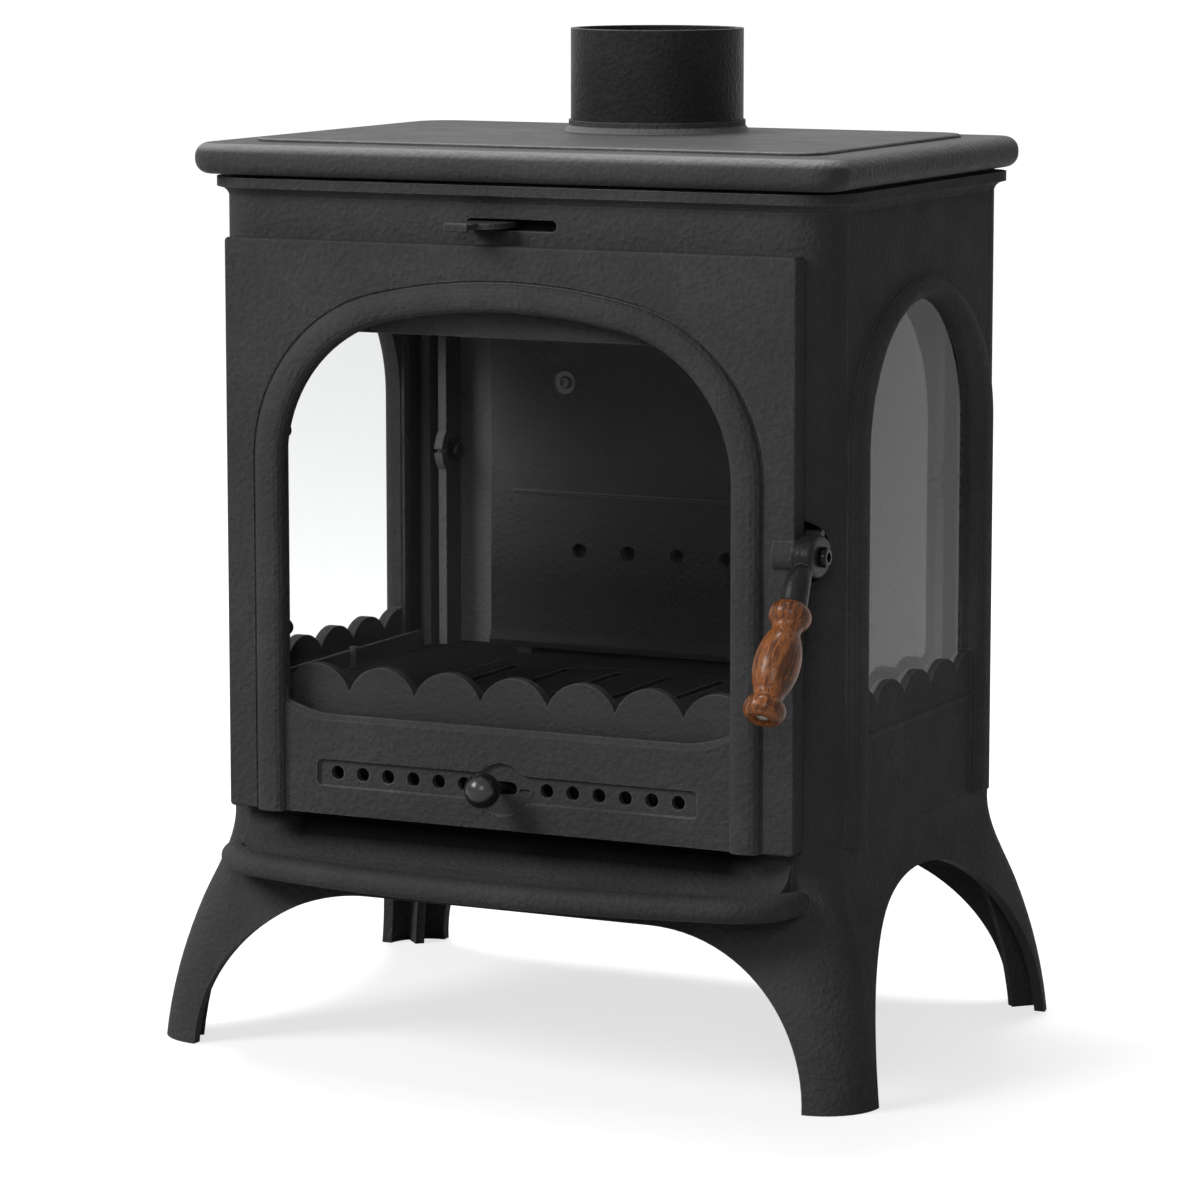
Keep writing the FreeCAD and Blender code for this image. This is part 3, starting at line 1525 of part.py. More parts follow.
def airwash_lever():
    """The flat tongue that stands out of the slot above the door."""
    root = front_inner + running_gap + airwash_plate_thickness
    step = body_front + (airwash_lever_front - body_front) * airwash_lever_step_share
    tongue = airwash_lever_root_right - airwash_lever_tip_right
    across, back = airwash_lever_curve_shares
    path = [
        ((airwash_lever_left, root), (airwash_lever_left, airwash_lever_front)),
        ((airwash_lever_left, airwash_lever_front), (airwash_lever_tip_right, airwash_lever_front)),
        ((airwash_lever_tip_right, airwash_lever_front), (airwash_lever_tip_right, step)),
        ((airwash_lever_tip_right, step),
         (airwash_lever_root_right - tongue * across, step + tongue * back),
         (airwash_lever_root_right, step + tongue)),
        ((airwash_lever_root_right, step + tongue), (airwash_lever_root_right, root)),
        ((airwash_lever_root_right, root), (airwash_lever_left, root))]
    low = airwash_slot_middle - airwash_lever_thickness / 2
    blade = slab(path, on_plan(low), at(0, 0, airwash_lever_thickness))
    lip = box(
        airwash_lever_left, airwash_lever_tip_right, airwash_lever_front,
        airwash_lever_front + airwash_lever_lip_length, airwash_slot_middle - airwash_lever_lip / 2,
        airwash_slot_middle + airwash_lever_lip / 2)
    lip = lip.makeFillet(airwash_lever_lip_radius, lip.Edges)
    return blade.fuse(lip).removeSplitter()


def airwash_box():
    """The folded box behind the slot that leads air down over the glass."""
    back = front_inner + airwash_box_depth
    shell = box(-airwash_box_half, airwash_box_half, front_inner, back, airwash_box_foot, airwash_box_top)
    fold = airwash_box_wall
    inside = box(
        -airwash_box_half + fold, airwash_box_half - fold, front_inner, back - fold,
        airwash_box_foot + fold, airwash_box_top - fold)
    shell = shell.cut(inside)
    holes = []
    for number in range(airwash_hole_count):
        x = (number - (airwash_hole_count - 1) / 2) * airwash_hole_pitch
        middle = (front_inner + back) / 2 + airwash_hole_radius
        holes.append(rod(at(x, middle, airwash_box_foot), z_way, airwash_hole_radius, fold))
    return shell.cut(Part.makeCompound(holes))


def leaned(shape):
    """Tilts a piece of the air knob up about the middle of its slot."""
    turned = shape.copy()
    turned.rotate(at(air_stem_x, door_face + door_skin / 2, air_slot_middle), x_way, air_stem_lean * -1)
    return turned


def air_slide():
    back = door_skin_back + running_gap
    half = air_slide_height / 2
    plate = box(
        -air_slide_half, air_slide_half, back, back + air_slide_thickness, air_row_height - half,
        air_row_height + half)
    cuts = []
    for x in air_hole_places():
        cuts.append(rod(at(x, back, air_row_height), y_way, air_hole_radius, air_slide_thickness))
    cuts.append(leaned(rod(
        at(air_stem_x, back - bite, air_slot_middle), y_way, air_stem_radius + pin_gap,
        air_slide_thickness + bite * 2)))
    return plate.cut(Part.makeCompound(cuts))


def air_knob_stem():
    end = door_skin_back + air_slide_thickness
    start = door_face - air_knob_stand
    return leaned(rod(at(air_stem_x, start, air_slot_middle), y_way, air_stem_radius, end - start))


def air_knob():
    """A ball on a short neck, bored for its stem."""
    middle = at(air_stem_x, door_face - air_knob_stand, air_slot_middle)
    ball = Part.makeSphere(air_knob_radius, middle)
    neck = rod(middle, y_way, air_knob_neck, air_knob_radius + air_knob_neck_length)
    bore = rod(middle, y_way, air_stem_radius + pin_gap, air_knob_radius + overrun)
    return leaned(ball.fuse(neck).cut(bore).removeSplitter())


def handle_spacer():
    disc = rod(at(door_half, pivot_y, pivot_z), x_way, spacer_radius, spacer_length)
    return disc.cut(rod(
        at(door_half, pivot_y, pivot_z), x_way, pivot_bolt_radius + pin_gap, spacer_length))


def pivot_bolt():
    start = hub_right + running_gap
    length = start - door_half + pivot_thread_depth
    return screw(
        at(start, pivot_y, pivot_z), x_way * -1, pivot_bolt_radius, length, pivot_head_radius,
        pivot_head_height)


def grip_point(along):
    turn = math.radians(grip_lean)
    return at(
        grip_x, pivot_y + grip_start_y - along * math.sin(turn),
        pivot_z + grip_start_z - along * math.cos(turn))


def grip_way():
    turn = math.radians(grip_lean)
    return at(0, -math.sin(turn), -math.cos(turn))


def handle_lever():
    """The oval hub with its tail, and the arm that curves forward and down to the grip."""
    major = at(hub_left, pivot_y + hub_reach, pivot_z)
    minor = at(hub_left, pivot_y, pivot_z + hub_half_height)
    oval = Part.Ellipse(major, minor, at(hub_left, pivot_y, pivot_z))
    hub = Part.Face(Part.Wire([oval.toShape()])).extrude(at(hub_length, 0, 0))
    hub = hub.makeFillet(hub_edge_radius, [edge for edge in hub.Edges if len(edge.Vertexes) < 2])
    points = [at(grip_x, pivot_y + y, pivot_z + z) for y, z, radius in arm_sections]
    points.append(grip_point(0))
    sections = []
    for number, (y, z, radius) in enumerate(arm_sections):
        way = (points[number + 1] - points[max(number - 1, 0)]).normalize()
        sections.append(Part.Wire([Part.Circle(points[number], way, radius).toShape()]))
    sections.append(Part.Wire([Part.Circle(grip_point(0), grip_way(), arm_end_radius).toShape()]))
    arm = Part.makeLoft(sections, True, False)
    lever = hub.fuse(arm)
    bolt_hole = rod(grip_point(0), grip_way() * -1, grip_bolt_radius + pin_gap, grip_bolt_in_arm)
    pivot_hole = rod(
        at(hub_left, pivot_y, pivot_z), x_way, pivot_bolt_radius + pin_gap, hub_length)
    return lever.cut(bolt_hole).cut(pivot_hole).removeSplitter()


def handle_grip():
    """The turned wooden grip: two beads, two waists and a long barrel."""
    edges = []
    for first in range(0, len(grip_outline) - 2, 2):
        points = [at(radius, 0, along) for along, radius in grip_outline[first:first + 3]]
        edges.append(Part.Arc(*points).toShape())
    start = at(grip_outline[0][1], 0, 0)
    end = at(grip_outline[-1][1], 0, grip_length)
    edges.append(Part.LineSegment(end, at(0, 0, grip_length)).toShape())
    edges.append(Part.LineSegment(at(0, 0, grip_length), at(0, 0, 0)).toShape())
    edges.append(Part.LineSegment(at(0, 0, 0), start).toShape())
    grip = Part.Face(Part.Wire(edges)).revolve(at(0, 0, 0), z_way, full_turn)
    bore = rod(at(0, 0, 0), z_way, grip_bolt_radius + pin_gap, grip_length)
    recess = rod(
        at(0, 0, grip_length - grip_recess_depth), z_way, grip_recess_radius, grip_recess_depth)
    grip = grip.cut(bore).cut(recess)
    grip.rotate(at(0, 0, 0), x_way, full_turn / 2 - grip_lean)
    grip.translate(grip_point(0))
    return grip


def grip_bolt():
    start = grip_point(grip_length - grip_recess_depth)
    length = grip_length - grip_recess_depth + grip_bolt_in_arm - thread_end_gap
    return screw(
        start, grip_way() * -1, grip_bolt_radius, length, grip_bolt_head, grip_bolt_head_height)


def bed_frame():
    """The firebed plate on four legs, open in the middle and clear of the rear corners' ribs."""
    side = side_inner - glass_ledge_depth - glass_ledge_thickness - bed_gap
    front = front_inner + bed_gap
    back = back_inner - bed_gap
    plate = box(-side, side, front, back, bed_foot, bed_top)
    hole = box(
        -grate_half_width + grate_step, grate_half_width - grate_step,
        grate_y - grate_half_depth + grate_step, grate_y + grate_half_depth - grate_step,
        0, top_face)
    seat = box(
        -grate_half_width - rest_gap, grate_half_width + rest_gap,
        grate_y - grate_half_depth - rest_gap, grate_y + grate_half_depth + rest_gap,
        bed_foot + bed_thickness / 2, top_face)
    corner = box(rear_rib_inner - bed_gap, half_width, rear_rib_front - bed_gap, body_rear, 0, top_face)
    plate = plate.cut(hole).cut(seat).cut(tie_passages(bed_foot, bed_top))
    plate = plate.cut(Part.makeCompound(both_sides(corner)))
    legs = []
    leg_x = ash_pan_half_width + ash_pan_lip + bed_leg_size
    for y in (front + bed_leg_size, back - bed_leg_size - bed_rear_leg_gap):
        leg = box(leg_x, leg_x + bed_leg_size, y, y + bed_leg_size, floor_top, bed_foot + bite)
        legs.extend(both_sides(leg))
    return plate.multiFuse(legs).removeSplitter()


def grate():
    """The slotted grate in the firebed."""
    low = bed_foot + bed_thickness / 2
    plate = box(
        -grate_half_width, grate_half_width, grate_y - grate_half_depth, grate_y + grate_half_depth,
        low, bed_top)
    slots = []
    for number in range(grate_slot_count):
        x = (number - (grate_slot_count - 1) / 2) * grate_slot_pitch
        half = grate_slot_width / 2
        slots.append(slab(
            round_box_path(
                x - half, x + half, grate_y - grate_half_depth + grate_slot_margin,
                grate_y + grate_half_depth - grate_slot_margin, half - pin_gap, half - pin_gap),
            on_plan(0), at(0, 0, top_face)))
    return plate.cut(Part.makeCompound(slots))


def ash_pan():
    """The folded tray under the grate, with a lip to lift it by."""
    front = front_inner + ash_pan_front_gap
    back = front + ash_pan_depth
    half = ash_pan_half_width
    outer = slab(
        round_box_path(-half, half, front, back, ash_pan_corner, ash_pan_corner),
        on_plan(floor_top), at(0, 0, ash_pan_height))
    fold = ash_pan_wall
    inner = slab(
        round_box_path(
            -half + fold, half - fold, front + fold, back - fold, ash_pan_corner - fold,
            ash_pan_corner - fold),
        on_plan(floor_top + fold), at(0, 0, ash_pan_height))
    lip = slab(
        round_box_path(
            -ash_pan_lip_half, ash_pan_lip_half, front - ash_pan_lip, front + fold, ash_pan_lip / 2,
            fold / 2),
        on_plan(floor_top + ash_pan_height - fold), at(0, 0, fold))
    return outer.fuse(lip).cut(inner).removeSplitter()


def back_liner():
    """The upright liner plate whose foot curls forward."""
    curl = liner_curl_radius
    bend_y = liner_face - curl
    bend_z = liner_foot + curl + liner_thickness
    inner = arc_step(bend_y, bend_z, curl, 0, -liner_curl_turn)
    outer = arc_step(bend_y, bend_z, curl + liner_thickness, -liner_curl_turn, 0)
    path = [
        ((liner_face, liner_top), inner[0]), inner, (inner[-1], outer[0]), outer,
        (outer[-1], (liner_back, liner_top)), ((liner_back, liner_top), (liner_face, liner_top))]
    plate = slab(path, on_side(-liner_half_width), at(2 * liner_half_width, 0, 0))
    rib_height = bed_foot + liner_rib_rise
    rib = box(
        -liner_rib_half, liner_rib_half, liner_face - liner_rib_size / 2, liner_face + bite,
        rib_height - liner_rib_size / 2, rib_height + liner_rib_size / 2)
    stand = box(
        liner_stand_x, liner_stand_x + liner_stand_width, liner_face, liner_back, bed_top, bend_z)
    plate = plate.multiFuse([rib] + both_sides(stand))
    holes = []
    for number in range(liner_hole_count):
        x = (number - (liner_hole_count - 1) / 2) * liner_hole_pitch
        holes.append(rod(
            at(x, liner_face, bed_foot + liner_hole_rise), y_way, liner_hole_radius, liner_thickness))
    bolt = rod(
        at(liner_bolt_x, liner_face - bite, liner_bolt_z), y_way, liner_bolt_radius + pin_gap,
        liner_thickness + 2 * bite)
    holes.extend(both_sides(bolt))
    return plate.cut(Part.makeCompound(holes)).removeSplitter()


def liner_bolts():
    start = at(liner_bolt_x, liner_face - liner_washer_thickness, liner_bolt_z)
    clamped = liner_washer_thickness + liner_thickness + liner_air_gap + wall
    length = clamped + liner_nut_height + liner_bolt_end
    bolt = screw(start, y_way, liner_bolt_radius, length, liner_head_radius, liner_head_height)
    return both_sides(bolt)


def liner_washers():
    start = at(liner_bolt_x, liner_face - liner_washer_thickness, liner_bolt_z)
    disc = rod(start, y_way, liner_washer_radius, liner_washer_thickness)
    disc = disc.cut(rod(start, y_way, liner_bolt_radius + pin_gap, liner_washer_thickness))
    return both_sides(disc)


def liner_nuts():
    start = at(liner_bolt_x, body_rear, liner_bolt_z)
    nut = hex_nut(start, y_way, liner_nut_radius, liner_nut_height, liner_bolt_radius + pin_gap)
    return both_sides(nut)


def baffle_plate():
    """The plate across the top of the fire, on the side castings' ledges."""
    foot = baffle_ledge_foot + baffle_ledge_height
    side = side_inner - baffle_side_gap
    plate = box(-side, side, baffle_front, rear_rib_front - bite, foot, foot + baffle_thickness)
    return plate.cut(tie_passages(foot, foot + baffle_thickness))


def main():
    os.makedirs("parts", exist_ok=True)
    ring = body_ring()
    write("base_stand", base_stand())
    write("bottom_plate", bottom_plate())
    write("front_plate", front_plate(ring))
    right = side_panel(ring)
    write("right_side_panel", right)
    write("left_side_panel", mirrored(right))
    write("back_panel", back_panel(ring))
    write_all("seam_bolts", seam_bolts())
    write_all("seam_washers", seam_washers())
    write("top_plate", top_plate())
    write("flue_spigot", flue_spigot())
    write_all("spigot_bolts", spigot_bolts())
    write_all("tie_rods", tie_rods())
    write_all("tie_nuts", tie_nuts())
    write("right_side_glass", side_glass())
    write("left_side_glass", mirrored(side_glass()))
    write("right_glass_seal", side_glass_seal())
    write("left_glass_seal", mirrored(side_glass_seal()))
    clips = side_clips()
    write_all("side_glass_clips", clips + [mirrored(clip) for clip in clips])
    screws = side_clip_screws()
    write_all("side_clip_screws", screws + [mirrored(screw_piece) for screw_piece in screws])
    write_all("side_glass_ledges", both_sides(glass_ledge()))
    write("airwash_box", airwash_box())
    write_all("airwash_guides", airwash_guides())
    write("airwash_slide", airwash_slide())
    write("airwash_lever", airwash_lever())
    write("bed_frame", bed_frame())
    write("grate", grate())
    write("ash_pan", ash_pan())
    write("back_liner", back_liner())
    write_all("liner_bolts", liner_bolts())
    write_all("liner_washers", liner_washers())
    write_all("liner_nuts", liner_nuts())
    write("baffle_plate", baffle_plate())
    write("latch_pin", latch_pin())
    write_all("hinge_pins", hinge_pins())
    write_all("hinge_washers", hinge_washers())
    write("door_frame", door_frame())
    write("door_glass", door_glass())
    write("door_glass_seal", door_glass_seal_ring())
    write_all("door_glass_clips", door_clips())
    write_all("door_clip_screws", door_clip_screws())
    write("door_rope_seal", rope_seal())
    write_all("air_slide_guides", air_guides())
    write("air_slide", air_slide())
    write("air_knob_stem", air_knob_stem())
    write("air_knob", air_knob())
    write("handle_spacer", handle_spacer())
    write("handle_pivot_bolt", pivot_bolt())
    write("handle_lever", handle_lever())
    write("handle_grip", handle_grip())
    write("grip_bolt", grip_bolt())


main()
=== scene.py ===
"""The looks of a cast iron stove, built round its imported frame."""

import math

import bmesh
import bpy
from mathutils import Matrix, Vector


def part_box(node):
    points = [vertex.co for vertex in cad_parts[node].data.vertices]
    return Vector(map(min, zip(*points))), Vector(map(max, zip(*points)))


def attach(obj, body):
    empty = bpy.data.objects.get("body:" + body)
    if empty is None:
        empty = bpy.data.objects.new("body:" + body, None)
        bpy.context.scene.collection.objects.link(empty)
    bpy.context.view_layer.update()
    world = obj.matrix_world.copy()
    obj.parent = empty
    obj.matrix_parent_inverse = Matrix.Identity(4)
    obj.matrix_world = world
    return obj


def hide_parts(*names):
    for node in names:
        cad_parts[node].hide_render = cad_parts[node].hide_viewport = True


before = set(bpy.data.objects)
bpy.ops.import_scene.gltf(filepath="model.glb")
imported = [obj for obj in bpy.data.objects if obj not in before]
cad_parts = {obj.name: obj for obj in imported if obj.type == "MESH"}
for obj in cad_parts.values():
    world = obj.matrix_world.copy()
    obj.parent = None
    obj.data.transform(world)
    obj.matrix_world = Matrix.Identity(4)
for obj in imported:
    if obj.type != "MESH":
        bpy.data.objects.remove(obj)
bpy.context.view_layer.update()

MM = 0.001

# The camera of the photograph: a long lens well in front of the stove, to its right
CAMERA_TURN = math.radians(25.736)
CAMERA_TILT = math.radians(8.417)
CAMERA_PLACE = Vector((1.5249, -3.1525, 0.8314))
LENS = 148.7
SENSOR = 36.0

# The room: what its white walls add to the lamps, and the lamps' name, place, target, size and power
ROOM_LIGHT = 0.08
LAMPS = (
    ("key", (-2.0, -2.3, 2.4), (0, 0, 0.4), 1.4, 106),
    ("fill", (1.5, -4.0, 2.2), (0, 0, 0.4), 1.6, 46),
    ("top", (-0.4, 0.6, 3.0), (0, 0.1, 0.5), 1.1, 98))

# The floor: its half width, its grey, and how white it looks near the stove and far from it
FLOOR_REACH = 30
FLOOR_GREY = (0.34, 0.34, 0.34)
FLOOR_GLOW_NEAR = 0.72
FLOOR_NEAR = 0.5
FLOOR_FAR = 2.2

# Colours, all linear
PAINT = (0.046, 0.0462, 0.047)
PAINT_WORN = (0.062, 0.062, 0.063)
# Lighter paint on edges: worn paint and a painted highlight
LIGHTENED_EDGE = (0.20, 0.20, 0.198)
# Lighter paint for the painted highlight on the hob's front rim
RIM_HIGHLIGHT_PAINT = (0.14, 0.14, 0.14)
SPIGOT_COAT = (0.017, 0.017, 0.0175)
SPIGOT_WORN = (0.032, 0.032, 0.033)
LEVER_COAT = (0.013, 0.013, 0.0135)
LEVER_WORN = (0.022, 0.022, 0.0225)
INNER_IRON = (0.080, 0.080, 0.0805)
INNER_IRON_WORN = (0.095, 0.094, 0.093)
BED_IRON = (0.010, 0.010, 0.010)
BED_IRON_WORN = (0.016, 0.016, 0.016)
ASH_ON_IRON = (0.12, 0.12, 0.118)
# The liner is darker towards the bottom
LINER_LOW_DOWN_BLACK = (0.004, 0.004, 0.004)
# Black of the painted shade under the door and in the handle's pivot pocket
BLACK_OF_PAINTED_SHADE = (0.002, 0.002, 0.002)
# Near-black for the parts behind the air slots and the mark's hook, as painted shade
SLIDE_AS_SHADE = (0.004, 0.004, 0.004)
BOLT_BLACK = (0.006, 0.006, 0.006)
SATIN_BLACK = (0.012, 0.012, 0.0125)
BLACK_STEEL = (0.022, 0.022, 0.023)
WASHER_STEEL = (0.10, 0.10, 0.098)
ZINC = (0.55, 0.55, 0.54)
BRASS = (0.50, 0.36, 0.16)
GLASS_TINT = (0.960, 0.963, 0.963)
ROPE_DARK = (0.012, 0.012, 0.012)
ROPE_LIGHT = (0.055, 0.054, 0.052)
WOOD_LIGHT = (0.26, 0.088, 0.024)
WOOD_MIDDLE = (0.080, 0.024, 0.007)
WOOD_DARK = (0.020, 0.007, 0.004)
WOOD_PORE = (0.25, 0.18, 0.15)

# Grain of a casting: each layer's lump size, detail and roughness
FINE_GRAIN = (1.1 * MM, 4, 0.6)
PITS = (3.6 * MM, 3, 0.5)
WAVES = (26 * MM, 2, 0.5)
CLOUDS = (90 * MM, 5, 0.62)

# Relief of those layers: depth and strength
FINE_RELIEF = (0.2 * MM, 0.8)
PIT_RELIEF = (1.6 * MM, 1.0)
WAVE_RELIEF = (0.5 * MM, 0.5)

# Paint: how its layers mix, where its three tones lie, how dark the first one is, and how unevenly it shines
PIT_SHARE = 0.6
CLOUD_SHARE = 0.5
PAINT_STOPS = (0.34, 0.5, 0.68)
PAINT_DARKENING = 0.84
PAINT_SMOOTHER = 0.07
PAINT_ROUGHER = 0.09
PAINT_ROUGHNESS = 0.68
PAINT_GLOSS = 0.03

# Rubbed edges, painted lighter partly for worn paint and partly as a painted highlight: their softness, and
# the bend of the surface over which the paint wears off
SOFT_EDGE = 1.2 * MM
EDGE_SAMPLES = 4
EDGE_LIGHTENING_SHARE = 0.8
EDGE_BENDS = (0.88, 0.995)
EDGE_PATCHES = (0.35, 1.0, 0.4, 0.6)

# Painted highlight on the rim of the hob: how far it faces up where the highlight starts and ends, and its
# front side
RIM_FOOT = (0.35, 0.7)
RIM_CREST = (0.94, 0.998)
RIM_FRONT = (-0.4, 0)
RIM_REAR_HIGHLIGHT = 0.15

# Painted shade under the door and in the pivot pocket, the liner's darkening low down and the ash inside, by
# place: heights, depths and half widths, in metres
SHADE_UNDER_DOOR_HEIGHTS = (0.141, 0.154)
SHADE_UNDER_DOOR_DEPTHS = (-0.12, -0.10)
SHADE_UNDER_DOOR_REACH = (0.165, 0.205)
LINER_DARKENING_HEIGHTS = (0.30, 0.40)
LINER_DARKENING_SHARE = 0.7
ASH_FACING = (-0.3, 0.6)
POCKET_RADIUS = 25 * MM
POCKET_EDGE = 0.3 * MM
POCKET_DEPTHS = (-0.06, -0.05)

# Sheet, bolts and pins
METAL_CLOUDS = (22 * MM, 3, 0.6)
METAL_GRAIN = 0.5 * MM
METAL_GRAIN_DETAIL = (3, 0.6)
METAL_RELIEF = (0.03 * MM, 0.6)
METAL_TONES = (0.75, 1.2)
METAL_STOPS = (0.3, 0.7)
METAL_SMOOTHER = 0.06
METAL_ROUGHER = 0.08

# Window glass, with the share of its reflection that shows in each pane
SIDE_MIRROR = 0.5
DOOR_MIRROR = 0.04
GLASS_IOR = 1.5
GLASS_ROUGHNESS = 0.02
GLASS_RIPPLE = (120 * MM, 0, 0.4)
GLASS_RELIEF = (0.02 * MM, 0.3)

# The wooden grip: how it leans, and its figure, bands and pores with their stretch along the grain
GRIP_LEAN = math.radians(36.1)
GRIP_WAY = Vector((0, -math.sin(GRIP_LEAN), -math.cos(GRIP_LEAN)))
WOOD_FIGURE = (9 * MM, 4, 0.6, (1, 1, 0.16))
WOOD_BANDS = (2.0 * MM, 3, 0.6, (1, 1, 0.12))
WOOD_PORES = (1.0 * MM, 2, 0.6, (1, 1, 0.07))
WOOD_RELIEF = (0.06 * MM, 0.4)
FIGURE_SHARE = 0.55
WOOD_TONES = ((0.34, WOOD_DARK), (0.45, WOOD_MIDDLE), (0.56, WOOD_LIGHT), (0.7, WOOD_MIDDLE))
PORE_SPREAD = (0.75, 0.0, 0.34, 0.46)
WOOD_ROUGHNESS = 0.42
WOOD_GLOSS = 0.12
LACQUER = 0.16
LACQUER_ROUGHNESS = 0.12

# The braided rope
ROPE_WEAVE = (1.6 * MM, 2, 0.5)
ROPE_FUZZ = (0.5 * MM, 3, 0.7)
ROPE_TONES = ((0.35, ROPE_DARK), (0.65, ROPE_LIGHT))
ROPE_ROUGHNESS = 0.95
WEAVE_RELIEF = (0.5 * MM, 0.8)
FUZZ_RELIEF = (0.15 * MM, 0.8)

# Side panes: how far behind the casting's face their outer faces stand in the photograph
BODY_HALF_WIDTH = 235.8 * MM
PANE_SETBACK = 2.5 * MM
PANE_CORNER = 6 * MM
PANE_CORNER_STEPS = 6
PANE_EDGE = 0.6 * MM

# Bolts with a hexagon socket: radius and height of each head, radius of each shank
PIVOT_HEAD = (7 * MM, 5 * MM)
PIVOT_SHANK = 4 * MM
LINER_HEAD = (5 * MM, 3.5 * MM)
LINER_SHANK = 4 * MM
GRIP_HEAD = (5 * MM, 2 * MM)
GRIP_SHANK = 3 * MM
SHANK_CLEARANCE = 0.1 * MM
GRIP_SHANK_END = 3 * MM
BOLT_SIDES = 36
HEAD_SHARES = ((0.45, 1.0), (0.35, 0.93), (0.2, 0.8))
SOCKET_SHARE = 0.72
SOCKET_DEPTH = 0.6
SIXTH = math.pi / 3

# The raised mark to the right of the air knob's slot: an open half round and a short hook, both dark as
# painted shade along the mark
MARK_PROUD = 0.55 * MM
MARK_CENTRE = Vector((17.2 * MM, -140.1 * MM, 198.4 * MM))
MARK_RADIUS = 3.9 * MM
MARK_SIDES = 12
MARK_STEPS = 28
MARK_START = math.radians(20)
MARK_SWEEP = math.radians(165)
HOOK_LEFT = 11.6 * MM
HOOK_TOP = 200.4 * MM
HOOK_LENGTH = 7 * MM
HOOK_DROP = 1.9 * MM
HOOK_STROKE = 0.8 * MM

# Points closer than this are one
MERGE = 0.001 * MM


def socket(node, name, value):
    node.inputs[name].default_value = value


def box_middle(node):
    low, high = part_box(node)
    return (low + high) / 2


class Finish:
    """A material under construction, with short ways to add and join its nodes."""

    def __init__(self, name):
        self.material = bpy.data.materials.new(name)
        self.material.use_nodes = True
        self.tree = self.material.node_tree
        self.tree.nodes.clear()
        self.out = self.add("ShaderNodeOutputMaterial")
        self.place = self.add("ShaderNodeTexCoord").outputs["Object"]

    def add(self, kind, **settings):
        node = self.tree.nodes.new(kind)
        for key, value in settings.items():
            setattr(node, key, value)
        return node

    def join(self, start, end):
        self.tree.links.new(start, end)

    def noise(self, size, detail, roughness, stretch=(1, 1, 1), place=None):
        """Noise whose lumps are about size metres across."""
        mapping = self.add("ShaderNodeMapping")
        socket(mapping, "Scale", stretch)
        self.join(place or self.place, mapping.inputs["Vector"])
        noise = self.add("ShaderNodeTexNoise")
        socket(noise, "Scale", 1 / size)
        socket(noise, "Detail", detail)
        socket(noise, "Roughness", roughness)
        self.join(mapping.outputs["Vector"], noise.inputs["Vector"])
        return noise.outputs["Fac"]

    def ramp(self, factor, stops):
        """A colour for each value of the factor, from stops of a position and a colour."""
        ramp = self.add("ShaderNodeValToRGB")
        elements = ramp.color_ramp.elements
        while len(elements) < len(stops):
            elements.new(0.5)
        for element, (position, colour) in zip(elements, stops):
            element.position = position
            element.color = (*colour, 1)
        self.join(factor, ramp.inputs["Fac"])
        return ramp.outputs["Color"]

    def spread(self, factor, low, high, start=0.3, end=0.7):
        """The factor's range from start to end, spread between two values."""
        spread = self.add("ShaderNodeMapRange")
        socket(spread, "From Min", start)
        socket(spread, "From Max", end)
        socket(spread, "To Min", low)
        socket(spread, "To Max", high)
        self.join(factor, spread.inputs["Value"])
        return spread.outputs["Result"]

    def math(self, operation, first, second):
        node = self.add("ShaderNodeMath", operation=operation)
        for number, value in enumerate((first, second)):
            if isinstance(value, (int, float)):
                node.inputs[number].default_value = value
            else:
                self.join(value, node.inputs[number])
        return node.outputs["Value"]

    def vector_math(self, operation, first, second=None):
        """A vector sum whose second term is a constant, another output or nothing."""
        node = self.add("ShaderNodeVectorMath", operation=operation)
        self.join(first, node.inputs[0])
        if isinstance(second, tuple):
            node.inputs[1].default_value = second
        elif second is not None:
            self.join(second, node.inputs[1])
        return node.outputs

    def blend(self, first, second, share):
        """The first value by its share and the second by the rest."""
        return self.math("ADD", self.math("MULTIPLY", first, share), self.math("MULTIPLY", second, 1 - share))

    def parts(self, vector):
        """The X, Y and Z of a vector."""
        apart = self.add("ShaderNodeSeparateXYZ")
        self.join(vector, apart.inputs["Vector"])
        return apart.outputs

    def facing(self, axis):
        """How far the surface faces along one of the object's axes, from -1 to 1."""
        return self.parts(self.add("ShaderNodeTexCoord").outputs["Normal"])[axis]

    def tint(self, colour, share, tint, blend_type="MIX"):
        """The colour with a share of a tint over it."""
        mix = self.add("ShaderNodeMix", data_type="RGBA", blend_type=blend_type)
        self.join(share, mix.inputs["Factor"])
        self.join(colour, mix.inputs["A"])
        mix.inputs["B"].default_value = (*tint, 1)
        return mix.outputs["Result"]

    def bump(self, height, depth, strength, below=None):
        bump = self.add("ShaderNodeBump")
        socket(bump, "Distance", depth)
        socket(bump, "Strength", strength)
        self.join(height, bump.inputs["Height"])
        if below is not None:
            self.join(below, bump.inputs["Normal"])
        return bump.outputs["Normal"]

    def seen(self):
        """1 for rays from the camera, from a mirror and through glass, and 0 for light."""
        path = self.add("ShaderNodeLightPath")
        through = self.math("MAXIMUM", path.outputs["Is Glossy Ray"], path.outputs["Is Transmission Ray"])
        return self.math("MAXIMUM", path.outputs["Is Camera Ray"], through)

    def surface(self, **values):
        """The principled surface, from constants, colours and outputs of other nodes."""
        shader = self.add("ShaderNodeBsdfPrincipled")
        for name, value in values.items():
            name = name.replace("_", " ")
            if isinstance(value, bpy.types.NodeSocket):
                self.join(value, shader.inputs[name])
            elif isinstance(value, tuple):
                socket(shader, name, (*value, 1))
            else:
                socket(shader, name, value)
        self.join(shader.outputs["BSDF"], self.out.inputs["Surface"])
        return self.material


